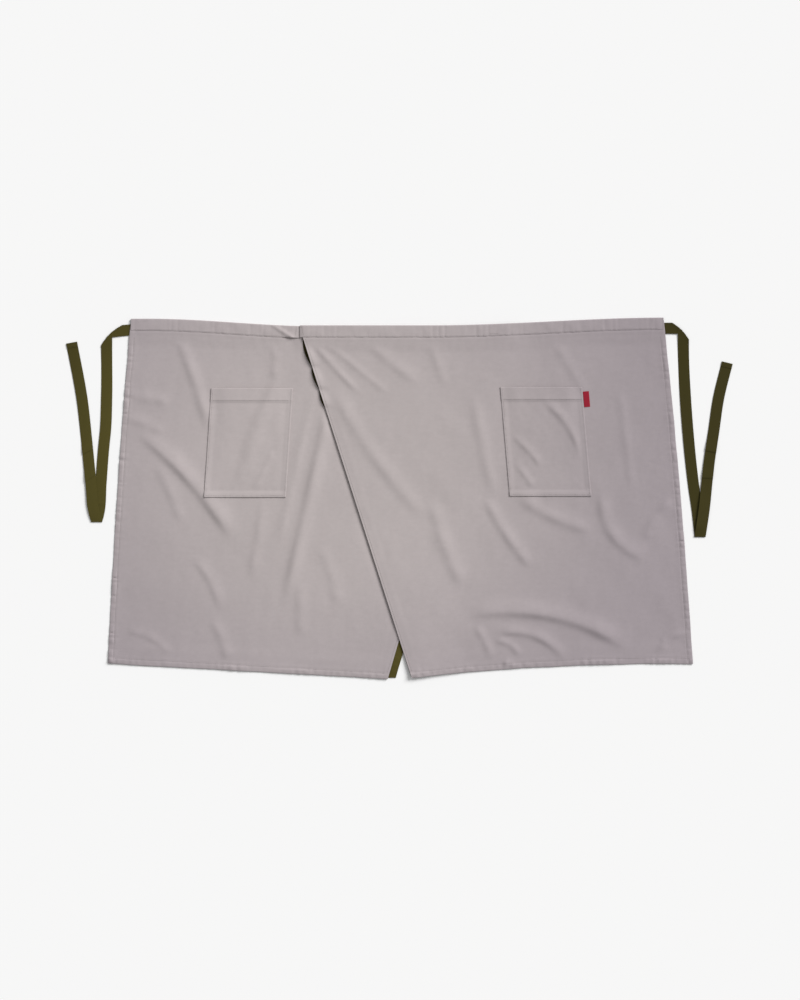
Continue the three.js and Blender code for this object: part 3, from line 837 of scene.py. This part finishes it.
def stitch_row(name, lines, material, length=2.3 * MM, radius=0.2 * MM):
    """Copies of one stitch laid end to end along each line of points"""
    pitch = bpy.context.scene.apron_sizes.stitch_pitch
    shape, shape_faces = stitch_shape(length, radius)
    vertices, uvs = [], []
    for line in lines:
        line = np.asarray(line, float)
        at = line_lengths(line)
        middles = np.arange(pitch / 2, at[-1] - pitch / 4, pitch)

        def places(distances):
            return np.stack([np.interp(distances, at, line[:, k]) for k in range(3)], axis=1)

        run = places(middles + length / 2) - places(middles - length / 2)
        run = run / np.linalg.norm(run, axis=1)[:, None]
        side = np.cross([0, 0, 1], run)
        side = side / np.linalg.norm(side, axis=1)[:, None]
        turn = np.stack([run, side, np.cross(run, side)], axis=1)
        copies = places(middles)[:, None, :] + np.einsum("vk,nkc->nvc", shape, turn)
        vertices.extend(copies.reshape(-1, 3))
        uv = np.stack(np.broadcast_arrays(middles[:, None] + shape[:, 0], shape[:, 1]), axis=-1)
        uvs.extend(uv.reshape(-1, 2))
    count = len(vertices) // len(shape)
    faces = [[k + copy * len(shape) for k in face] for copy in range(count) for face in shape_faces]
    piece = new_object(name, vertices, faces, uvs)
    select_only(piece)
    bpy.ops.object.shade_smooth_by_angle(angle=np.radians(60))
    piece.data.materials.append(material)
    return piece


def sew(name, lines, thread, node, body):
    """Stitches along lines of points, which stand for a seam and ride on a body"""
    seam = stitch_row(name, lines, thread)
    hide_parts(node)
    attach(seam, body)
    return seam


def make_panel_stitches(panel, thread):
    name, outward = panel["name"], panel["outward"]
    foot, inner_foot = panel["corners"]["foot"], panel["corners"]["inner_foot"]
    y = np.arange(foot[1] + 6 * MM, HINGE_Y + 10 * MM, ROW_STEP)
    side = panel["side"](y) - outward * HEM_SEAM["side"], y
    y = np.arange(inner_foot[1] + 12 * MM, HINGE_Y + 6 * MM, ROW_STEP)
    inner = panel["inner"](y) + outward * HEM_SEAM["inner"], y
    x = foot[0] - outward * np.arange(6 * MM, abs(inner_foot[0] - foot[0]) - 4 * MM, ROW_STEP)
    bottom = x, panel["hem"](x) + HEM_SEAM["bottom"]

    for edge, (x, y) in (("side", side), ("bottom", bottom), ("inner", inner)):
        row = np.stack([x, y, top_height(panel, x, y) + 0.33 * MM], axis=1)
        seam = stitch_row(f"{name}_{edge}_stitches", [row], thread)
        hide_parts(f"{name}_{edge}_seam")
        if edge == "bottom":
            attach(seam, f"{name}_skirt")
        else:
            blend_over_hinge(seam)


# ---- pockets ----
def pocket_place(pocket, u, v):
    """The point of a pocket at shares u across from its left edge and v up from its foot"""
    mouth_x, mouth_y = pocket["mouth"]
    x = mix(pocket["foot"], mouth_x, v) + (u - 0.5) * POCKET_WIDTH
    return x, mouth_y - (1 - v) * POCKET_HEIGHT


def pocket_height(panel, u, v):
    """Height of the middle of a pocket's cloth, riding on its panel"""
    sizes = bpy.context.scene.apron_sizes
    pocket = panel["pocket"]
    x, y = pocket_place(pocket, u, v)
    in_u = np.minimum(u, 1 - u) * POCKET_WIDTH
    up_v, down_v = v * POCKET_HEIGHT, (1 - v) * POCKET_HEIGHT
    level = panel_height(panel, x, y) + 0.52 * MM
    side_step = 2 * SIDE_RADIUS * (1 - smoothstep(in_u, POCKET_TURN, 10 * MM))
    foot_step = 2 * POCKET_RADIUS * (1 - smoothstep(up_v, POCKET_TURN, 11 * MM))
    mouth_step = 2 * POCKET_RADIUS * (1 - smoothstep(down_v, MOUTH_TURN + 0.5 * MM, 26 * MM))
    level += np.maximum(side_step, np.maximum(foot_step, mouth_step))

    seed = panel["seed"] + 30
    edge = np.minimum(in_u, up_v)
    inland = smoothstep(edge, 5 * MM, 26 * MM)
    loose = 0.45 * MM * (0.6 + 0.5 * cloth_noise(x, y, 0.060, seed))
    loose = loose + 0.14 * MM * (0.5 + 0.5 * cloth_noise(x, y, 0.018, seed + 1))
    level += np.maximum(loose, 0) * inland
    gape = sizes.pocket_gape * smoothstep(in_u, 0, 30 * MM) * smoothstep(v, 0.3, 1)
    level += gape
    for fold in panel["pocket_folds"]:
        level += fold_height(x, y, partial(pocket_place, pocket), fold) * inland
    level += hem_pucker(sizes.pucker * 0.8, in_u, y, 3 * MM, seed + 2)
    level += hem_pucker(sizes.pucker * 0.8, up_v, x, 3 * MM, seed + 3)
    from_mouth_seam = np.abs(down_v - MOUTH_TURN) + 2 * MM
    mouth_line = hem_pucker(sizes.pucker, from_mouth_seam, x, 4 * MM, seed + 4)
    return level + mouth_line * 0.5


def pocket_stations(length, turns, radius, step):
    """Stations of cloth turned under at both ends, and which of them are nearer the far end"""
    half = np.arange(1.5 * MM, length / 2, step)
    low, high = (fold_stations(half, turn, radius) for turn in turns)
    joined = [np.concatenate([a, b[::-1]]) for a, b in zip(low, high)]
    return *joined, np.repeat([False, True], [len(low[0]), len(high[0])])


def make_pocket(panel, material, thread):
    name, pocket = panel["name"], panel["pocket"]
    sizes = bpy.context.scene.apron_sizes
    step = 2.4 * MM * 1
    across = pocket_stations(POCKET_WIDTH, (POCKET_TURN, POCKET_TURN), SIDE_RADIUS, step)
    up = pocket_stations(POCKET_HEIGHT, (POCKET_TURN, MOUTH_TURN), POCKET_RADIUS, step)
    c_flat, c_angle, c_arc, c_high = across
    c_in, c_drop = fold_offset(c_flat, c_angle, c_arc, SIDE_RADIUS)
    u = np.where(c_high, 1 - c_in / POCKET_WIDTH, c_in / POCKET_WIDTH)[None, :]
    r_flat, r_angle, r_arc, r_high = (a[:, None] for a in up)
    r_in, drop = fold_offset(r_flat, r_angle, r_arc, POCKET_RADIUS, c_drop[None, :])
    v = np.where(r_high, 1 - r_in / POCKET_HEIGHT, r_in / POCKET_HEIGHT)
    u, v = np.broadcast_arrays(u, v)
    x, y = pocket_place(pocket, u, v)
    z = pocket_height(panel, np.clip(u, 0, 1), np.clip(v, 0, 1)) + drop
    uv = np.stack([x, y], axis=-1)
    piece = grid_object(f"{name}_pocket_cloth", x, y, z, uv, flip=False)
    finish_cloth(piece, sizes.cloth_thickness * 0.95, material)
    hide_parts(f"{name}_pocket")
    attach(piece, f"{name}_skirt")

    def on_pocket(us, vs):
        us, vs = np.broadcast_arrays(np.asarray(us, float), np.asarray(vs, float))
        px, py = pocket_place(pocket, us, vs)
        return np.stack([px, py, pocket_height(panel, us, vs) + 0.32 * MM], axis=1)

    in_u, in_v = 3 * MM / POCKET_WIDTH, 3 * MM / POCKET_HEIGHT
    rows = [on_pocket(in_u, np.linspace(0.99, in_v, 100)),
            on_pocket(np.linspace(in_u, 1 - in_u, 80), in_v),
            on_pocket(1 - in_u, np.linspace(in_v, 0.99, 100))]
    mouth = on_pocket(np.linspace(0.03, 0.97, 80), 1 - MOUTH_TURN / POCKET_HEIGHT)
    for part, lines in (("pocket", rows), ("pocket_mouth", [mouth])):
        sew(f"{name}_{part}_stitches", lines, thread, f"{name}_{part}_seam", f"{name}_skirt")


def make_label(material):
    """The side label: a strip of tape folded in half, its ends caught under the pocket's edge"""
    (x0, y0, _), (x1, y1, _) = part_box("side_label")
    lean = np.arctan2(OVER_POCKET["foot"] - OVER_POCKET["mouth"][0], POCKET_HEIGHT)
    middle = np.array([(x0 + x1) / 2, (y0 + y1) / 2])
    width, height = 10.5 * MM, 28 * MM
    low, radius = 0.75 * MM, 0.32 * MM
    angle = np.linspace(-np.pi / 2, np.pi / 2, 7)
    flat = np.array([-width / 2, -width / 6, width / 4])
    fold = width / 2 - radius + radius * np.cos(angle)
    level = np.concatenate([0 * flat + low, low + radius + radius * np.sin(angle),
                            0 * flat + low + 2 * radius])
    rows = np.linspace(-height / 2, height / 2, 15)
    across, along = np.meshgrid(np.concatenate([flat, fold, flat[::-1]]), rows)
    level = np.broadcast_to(level, across.shape)
    bulge = 0.25 * MM * smoothstep(across, 0, width / 2) * np.cos(along / height * np.pi) ** 2
    x = middle[0] + across * np.cos(lean) - along * np.sin(lean)
    y = middle[1] + across * np.sin(lean) + along * np.cos(lean)
    uv = np.stack([across, along], axis=-1)
    piece = grid_object("side_label_tab", x, y, level + bulge, uv, flip=False)
    finish_cloth(piece, 0.3 * MM, material)
    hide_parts("side_label")
    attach(piece, "label_tab")


# ---- waistbands ----
def band_front(panel, x, drop):
    """Height of the front of a waistband, drop below its top"""
    seed = panel["seed"] + 50
    gather = cloth_noise(x, drop * 0.35, 0.012, seed)
    slack = cloth_noise(x, drop * 0.4, 0.026, seed + 1)
    middle = np.sin(np.clip(drop / BAND_HEIGHT, 0, 1) * np.pi)
    ripple = 0.16 * MM * (gather + 1) * (0.35 + 0.65 * (1 - middle))
    rise = 0.42 * MM * np.clip(slack + 0.6, 0, 1.6) * middle
    patch = np.clip(0.45 + 0.6 * cloth_noise(x, x * 0, 0.080, seed + 2), 0, 1)
    crumple = 0.55 * MM * patch * tucks(x, 13 * MM, seed + 3)
    front = panel["band_base"](x) + 3 * LAYER + MID + 0.2 * MM + ripple + rise - crumple
    if panel is UNDER:
        # the band buckles just before it goes under the other one
        beside = OVER_BAND_END - x
        buckle = smoothstep(beside, 2 * MM, 18 * MM) * (1 - smoothstep(beside, 34 * MM, 60 * MM))
        crease = beside - 14 * MM - (BAND_HEIGHT - drop) * 1.7
        front = front + buckle * 1.7 * MM * bell(crease, 7 * MM)
        front = front + 1.1 * MM * beside_notch(x) * smoothstep(drop, 8 * MM, BAND_HEIGHT)
        front = np.where(x > OVER_BAND_END, 3 * LAYER + MID + 0.2 * MM, front)
    else:
        # pressed flat at the end that lies on the other band
        front = front - 1.0 * MM * (1 - smoothstep(x - OVER_BAND_END, 0, 7 * MM))
    return front


def make_band(panel, material, thread):
    name, waist = panel["name"], panel["waist"]
    start, end = panel["band"]
    step = 2.2 * MM * 1
    x = np.linspace(start, end, int((end - start) / step))[:, None]
    top = waist(x)
    back = panel["band_base"](x) + MID
    hem_radius = 0.25 * MM
    front_mid = band_front(panel, x, 0 * x)
    fold = (front_mid - back) / 2
    columns = []

    def station(y, z):
        columns.append((np.broadcast_to(y, x.shape), np.broadcast_to(z, x.shape)))

    for d in (7, 4.5, 2.5, 0.6):
        drop = BAND_HEIGHT - d * MM
        station(top - drop, band_front(panel, x, drop) - 2 * hem_radius)
    for angle in np.linspace(np.pi, 0, 5)[1:-1]:
        drop = BAND_HEIGHT - hem_radius + hem_radius * np.sin(angle)
        turn = hem_radius * np.cos(angle) - hem_radius
        station(top - drop, band_front(panel, x, BAND_HEIGHT) + turn)
    for d in np.linspace(BAND_HEIGHT - 0.6 * MM, 2.4 * MM, 11):
        station(top - d, band_front(panel, x, d))
    for angle in np.linspace(0, np.pi, 9):
        station(top - fold + fold * np.sin(angle), back + fold + fold * np.cos(angle))
    for d in np.linspace(4 * MM, BAND_HEIGHT - 0.5 * MM, 6):
        station(top - d, back + 0.02 * MM)
    y = np.concatenate([c[0] for c in columns], axis=1)
    z = np.concatenate([c[1] for c in columns], axis=1)
    x = np.broadcast_to(x, y.shape)
    uv = np.stack([x, np.broadcast_to(np.linspace(0, 0.05, y.shape[1]), x.shape)], axis=-1)
    piece = grid_object(f"{name}_waistband_cloth", x, y, z, uv, flip=False)
    finish_cloth(piece, 0.42 * MM, material)
    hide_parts(f"{name}_waistband")
    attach(piece, "waist")

    seam_start = start + 4 * MM
    seam_end = (OVER_BAND_END - 13 * MM) if panel is UNDER else end - 8 * MM
    xs = np.arange(seam_start, seam_end, ROW_STEP)
    drop = BAND_HEIGHT - 1.6 * MM
    row = np.stack([xs, waist(xs) - drop, band_front(panel, xs, drop) + 0.3 * MM], axis=1)
    sew(f"{name}_band_stitches", [row], thread, f"{name}_band_seam", "waist")


def make_band_tacks(thread):
    def on_band(panel, xs, drops):
        xs, drops = np.broadcast_arrays(np.asarray(xs, float), np.asarray(drops, float))
        z = band_front(panel, xs, drops) + 0.3 * MM
        return [np.stack([xs, panel["waist"](xs) - drops, z], axis=1)]

    drops = np.linspace(2, 17, 12) * MM
    xs = np.linspace(UNDER_BAND_END - 17 * MM, UNDER_BAND_END, 12)
    tacks = {
        "left_band_end": (UNDER, OVER_BAND_END - 5 * MM - 0.2 * drops, drops),
        "right_band_end": (OVER, OVER_BAND_END + 3 * MM + 0.2 * drops, drops),
        "covered_band": (OVER, xs, BAND_HEIGHT - 4 * MM),
    }
    for name, place in tacks.items():
        sew(f"{name}_stitches", on_band(*place), thread, f"{name}_tack", "waist")


# ---- materials ----
def shader_group(name, inputs, outputs):
    group = bpy.data.node_groups.new(name, "ShaderNodeTree")
    for label, kind, default in inputs:
        socket = group.interface.new_socket(label, in_out="INPUT", socket_type=kind)
        if default is not None:
            socket.default_value = default
    for label, kind in outputs:
        group.interface.new_socket(label, in_out="OUTPUT", socket_type=kind)
    start = group.nodes.new("NodeGroupInput")
    end = group.nodes.new("NodeGroupOutput")
    return group, start, end


def add_node(tree, kind, inputs, **settings):
    """A new node, with each input linked to a socket or set to a value"""
    node = tree.nodes.new(kind)
    for name, value in settings.items():
        setattr(node, name, value)
    for label, value in inputs.items():
        if isinstance(value, bpy.types.NodeSocket):
            tree.links.new(value, node.inputs[label])
        else:
            node.inputs[label].default_value = value
    return node


def math_node(tree, operation, a, b):
    return add_node(tree, "ShaderNodeMath", {0: a, 1: b}, operation=operation).outputs[0]


def wave_node(tree, vector, scale, direction, distortion):
    inputs = {"Vector": vector, "Scale": scale, "Distortion": distortion}
    return add_node(tree, "ShaderNodeTexWave", inputs,
                    wave_type="BANDS", bands_direction=direction).outputs["Fac"]


def weave_group():
    """Diagonal ribs over crossing threads, as a height and a mask of the thread tops"""
    inputs = [("Vector", "NodeSocketVector", None), ("Rib Scale", "NodeSocketFloat", 520.0),
              ("Thread Scale", "NodeSocketFloat", 1250.0)]
    group, start, end = shader_group(
        "Weave", inputs, [("Height", "NodeSocketFloat"), ("Threads", "NodeSocketFloat")])
    vector, thread_scale = start.outputs["Vector"], start.outputs["Thread Scale"]
    ribs = wave_node(group, vector, start.outputs["Rib Scale"], "DIAGONAL", 0.6)
    warp = wave_node(group, vector, thread_scale, "X", 0.3)
    weft = wave_node(group, vector, thread_scale, "Y", 0.3)
    threads = math_node(group, "MULTIPLY", warp, weft)
    low = math_node(group, "MULTIPLY", ribs, 0.65)
    high = math_node(group, "MULTIPLY", threads, 0.35)
    height = math_node(group, "ADD", low, high)
    group.links.new(height, end.inputs["Height"])
    group.links.new(threads, end.inputs["Threads"])
    return group


def fading_group():
    """Uneven dyeing and wear: a slow drift of tone, slubs and a fine mottle, all about 0.5"""
    group, start, end = shader_group(
        "Fading", [("Vector", "NodeSocketVector", None)],
        [("Drift", "NodeSocketFloat"), ("Mottle", "NodeSocketFloat"), ("Slub", "NodeSocketFloat")])
    for label, scale, detail, stretch in (("Drift", 3.0, 2.0, (1, 1, 1)),
                                          ("Mottle", 130.0, 4.0, (1, 1, 1)),
                                          ("Slub", 60.0, 3.0, (1, 14, 1))):
        place = {"Vector": start.outputs["Vector"], "Scale": stretch}
        vector = add_node(group, "ShaderNodeMapping", place).outputs["Vector"]
        inputs = {"Vector": vector, "Scale": scale, "Detail": detail}
        noise = add_node(group, "ShaderNodeTexNoise", inputs)
        group.links.new(noise.outputs["Fac"], end.inputs[label])
    return group


def group_node(tree, name, make, inputs):
    """A node of the shared group of this name, which is made the first time"""
    group = bpy.data.node_groups.get(name) or make()
    return add_node(tree, "ShaderNodeGroup", inputs, node_tree=group)


def tint(tree, color, factor, amount):
    """The colour made lighter or darker by up to amount as factor goes about 0.5"""
    value = math_node(tree, "MULTIPLY", math_node(tree, "SUBTRACT", factor, 0.5), amount)
    inputs = {"Value": math_node(tree, "ADD", value, 1.0), "Color": color}
    return add_node(tree, "ShaderNodeHueSaturation", inputs).outputs["Color"]


def woven_material(name, color, painted_shade_color, ribs, threads, bump, roughness, sheen):
    """Cloth: its colour darkens as painted shade towards the given shaded colour away from a point
    a little left of the middle, with weave, slubs and mottle
    """
    material = bpy.data.materials.new(name)
    material.use_nodes = True
    tree = material.node_tree
    shader = tree.nodes["Principled BSDF"]
    coordinates = tree.nodes.new("ShaderNodeTexCoord").outputs
    weave = group_node(tree, "Weave", weave_group, {
        "Vector": coordinates["UV"], "Rib Scale": ribs, "Thread Scale": threads})
    fading = group_node(tree, "Fading", fading_group, {"Vector": coordinates["Object"]})

    # painted shade: the colour darkens away from a point a little left of the middle of the front,
    # standing in for light that falls off across the apron
    about = add_node(tree, "ShaderNodeMapping", {
        "Vector": coordinates["Object"], "Location": (0.15, -0.08, 0), "Scale": (1.25, 1.35, 0)})
    painted_shade_falloff = add_node(tree, "ShaderNodeTexGradient", {"Vector": about.outputs["Vector"]},
                     gradient_type="SPHERICAL")
    ramp = add_node(tree, "ShaderNodeValToRGB", {"Fac": painted_shade_falloff.outputs["Fac"]})
    ramp.color_ramp.interpolation = "EASE"
    for element, place, tone in zip(ramp.color_ramp.elements, (0.18, 0.85), (painted_shade_color, color)):
        element.position = place
        element.color = (*tone, 1)
    shade = tint(tree, ramp.outputs["Color"], fading.outputs["Drift"], 0.14)
    shade = tint(tree, shade, fading.outputs["Mottle"], 0.09)
    shade = tint(tree, shade, fading.outputs["Slub"], 0.08)
    shade = tint(tree, shade, weave.outputs["Threads"], 0.16)
    tree.links.new(shade, shader.inputs["Base Color"])

    rough = math_node(tree, "MULTIPLY", fading.outputs["Mottle"], 0.12)
    rough = math_node(tree, "ADD", rough, roughness - 0.06)
    tree.links.new(rough, shader.inputs["Roughness"])
    height = add_node(tree, "ShaderNodeBump", {
        "Strength": 0.55, "Distance": bump, "Height": weave.outputs["Height"]})
    tree.links.new(height.outputs["Normal"], shader.inputs["Normal"])
    shader.inputs["Specular IOR Level"].default_value = 0.18
    shader.inputs["Sheen Weight"].default_value = sheen
    shader.inputs["Sheen Roughness"].default_value = 0.5
    return material


def apron_material(name):
    """The named material, made the first time that it is asked for"""
    found = bpy.data.materials.get(name)
    if found:
        return found
    colors = bpy.context.scene.apron_colors
    twill = tuple(colors.twill)
    # painted shade: a darker, cooler copy of the twill, standing in for light that falls off across
    # the apron
    painted_shade_twill = (twill[0] * 0.75, twill[1] * 0.735, twill[2] * 0.79)
    # the second colour of each finish is the painted shade that it darkens to away from the apron's
    # middle
    finishes = {
        "apron_twill": (twill, painted_shade_twill, 520, 1250, 0.10 * MM, 0.92, 0.10),
        "apron_tape": (tuple(colors.tape), tuple(c * 0.365 for c in colors.tape),
                       330, 900, 0.16 * MM, 0.88, 0.0),
        # painted shade: a much darker copy of the tape, for the tape that peeps out in shadow from
        # under the over panel's raised edge
        "apron_painted_shade_tape": (tuple(c * 0.27 for c in colors.tape),
                               tuple(c * 0.20 for c in colors.tape),
                               330, 900, 0.16 * MM, 0.92, 0.0),
        "apron_thread": (tuple(colors.thread), tuple(c * 0.84 for c in colors.thread),
                         900, 1600, 0.04 * MM, 0.72, 0.05),
        "apron_tape_thread": (tuple(colors.tape_thread), tuple(colors.tape_thread),
                              900, 1600, 0.04 * MM, 0.72, 0.05),
        "apron_label": (tuple(colors.label), tuple(colors.label), 420, 1100, 0.08 * MM, 0.80, 0.08),
    }
    return woven_material(name, *finishes[name])


# ---- stage ----
def soft_sun(name, strength, angle, elevation, azimuth, color):
    """Even light from one direction. Azimuth 0 is from +X and 90 from +Y."""
    data = bpy.data.lights.new(name, "SUN")
    data.energy = strength
    data.angle = np.radians(angle)
    data.color = color
    lamp = bpy.data.objects.new(name, data)
    lamp.rotation_euler = (0, np.radians(90 - elevation), np.radians(azimuth))
    bpy.context.scene.collection.objects.link(lamp)


def make_stage():
    scene = bpy.context.scene
    scene.view_settings.view_transform = "Standard"
    world = bpy.data.worlds.new("Studio")
    world.use_nodes = True
    background = world.node_tree.nodes["Background"]
    background.inputs["Color"].default_value = (1, 1, 1, 1)
    background.inputs["Strength"].default_value = 0.42
    scene.world = world
    soft_sun("Key", 3.35, 30, 33, 42, (1.0, 0.998, 0.995))

    deselect_all()
    bpy.ops.mesh.primitive_plane_add(size=12, location=(0, 0, -0.3 * MM))
    floor = bpy.context.object
    floor.name = floor.data.name = "studio_floor"
    bpy.ops.object.transform_apply()
    material = bpy.data.materials.new("studio_floor")
    material.use_nodes = True
    shader = material.node_tree.nodes["Principled BSDF"]
    shader.inputs["Base Color"].default_value = (0.93, 0.93, 0.93, 1)
    shader.inputs["Roughness"].default_value = 1.0
    shader.inputs["Specular IOR Level"].default_value = 0.0
    floor.data.materials.append(material)

    camera = bpy.data.objects.new("Camera", bpy.data.cameras.new("Camera"))
    camera.data.lens = 100
    camera.data.sensor_width = 36
    camera.data.clip_end = 50
    camera.location = (-0.001, -0.003, 5.0)
    scene.collection.objects.link(camera)
    scene.camera = camera


# ---- operators ----
class APRON_OT_stage(bpy.types.Operator):
    """Adds the camera, the lights and the pale floor"""

    bl_idname = "apron.stage"
    bl_label = "Stage"

    def execute(self, context):
        make_stage()
        return {"FINISHED"}


class APRON_OT_ties(bpy.types.Operator):
    """Makes both tape ties, with their hemmed ends"""

    bl_idname = "apron.ties"
    bl_label = "Ties"

    def execute(self, context):
        for panel, tie in ((UNDER, LEFT_TIE), (OVER, RIGHT_TIE)):
            make_tie(panel, tie, apron_material("apron_tape"), apron_material("apron_tape_thread"))
        return {"FINISHED"}


class APRON_OT_panels(bpy.types.Operator):
    """Makes the two skirt panels, with their hems turned under"""

    bl_idname = "apron.panels"
    bl_label = "Skirt panels"

    def execute(self, context):
        for panel in PANELS:
            make_panel(panel, apron_material("apron_twill"))
            make_panel_stitches(panel, apron_material("apron_thread"))
        return {"FINISHED"}


class APRON_OT_inner_tapes(bpy.types.Operator):
    """Makes the tapes under the panels' inner edges"""

    bl_idname = "apron.inner_tapes"
    bl_label = "Inner tapes"

    def execute(self, context):
        for panel in PANELS:
            # the over panel's inner tape gets the darker copy of the tape, as painted shade where
            # it peeps out under the raised edge
            finish = "apron_painted_shade_tape" if panel is OVER else "apron_tape"
            make_inner_tape(panel, apron_material(finish))
        return {"FINISHED"}


class APRON_OT_pockets(bpy.types.Operator):
    """Makes the two patch pockets and their stitching"""

    bl_idname = "apron.pockets"
    bl_label = "Pockets"

    def execute(self, context):
        for panel in PANELS:
            make_pocket(panel, apron_material("apron_twill"), apron_material("apron_thread"))
        return {"FINISHED"}


class APRON_OT_label(bpy.types.Operator):
    """Makes the plain side label"""

    bl_idname = "apron.label"
    bl_label = "Side label"

    def execute(self, context):
        make_label(apron_material("apron_label"))
        return {"FINISHED"}


class APRON_OT_waistbands(bpy.types.Operator):
    """Makes the two folded waistbands, their stitching and their tacks"""

    bl_idname = "apron.waistbands"
    bl_label = "Waistbands"

    def execute(self, context):
        for panel in PANELS:
            make_band(panel, apron_material("apron_twill"), apron_material("apron_thread"))
        make_band_tacks(apron_material("apron_thread"))
        return {"FINISHED"}


class APRON_PT_sidebar(bpy.types.Panel):
    """Lists the apron's settings and the operators that make its pieces"""

    bl_idname = "APRON_PT_sidebar"
    bl_label = "Split Waist Apron"
    bl_space_type = "VIEW_3D"
    bl_region_type = "UI"
    bl_category = "Apron"

    def draw(self, context):
        layout = self.layout
        for settings in (context.scene.apron_sizes, context.scene.apron_colors):
            for name in settings.__annotations__:
                layout.prop(settings, name)
        for operator in OPERATORS:
            layout.operator(operator.bl_idname)


OPERATORS = (APRON_OT_stage, APRON_OT_ties, APRON_OT_panels, APRON_OT_inner_tapes,
             APRON_OT_pockets, APRON_OT_label, APRON_OT_waistbands)
CLASSES = (ApronSizes, ApronColors, *OPERATORS, APRON_PT_sidebar)


def register():
    for cls in CLASSES:
        bpy.utils.register_class(cls)
    bpy.types.Scene.apron_sizes = bpy.props.PointerProperty(type=ApronSizes)
    bpy.types.Scene.apron_colors = bpy.props.PointerProperty(type=ApronColors)


def unregister():
    del bpy.types.Scene.apron_colors
    del bpy.types.Scene.apron_sizes
    for cls in reversed(CLASSES):
        bpy.utils.unregister_class(cls)


def main():
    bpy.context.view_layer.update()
    deselect_all()
    register()
    bpy.ops.apron.stage()
    bpy.ops.apron.ties()
    bpy.ops.apron.panels()
    bpy.ops.apron.inner_tapes()
    bpy.ops.apron.pockets()
    bpy.ops.apron.label()
    bpy.ops.apron.waistbands()


if __name__ == "__main__":
    main()
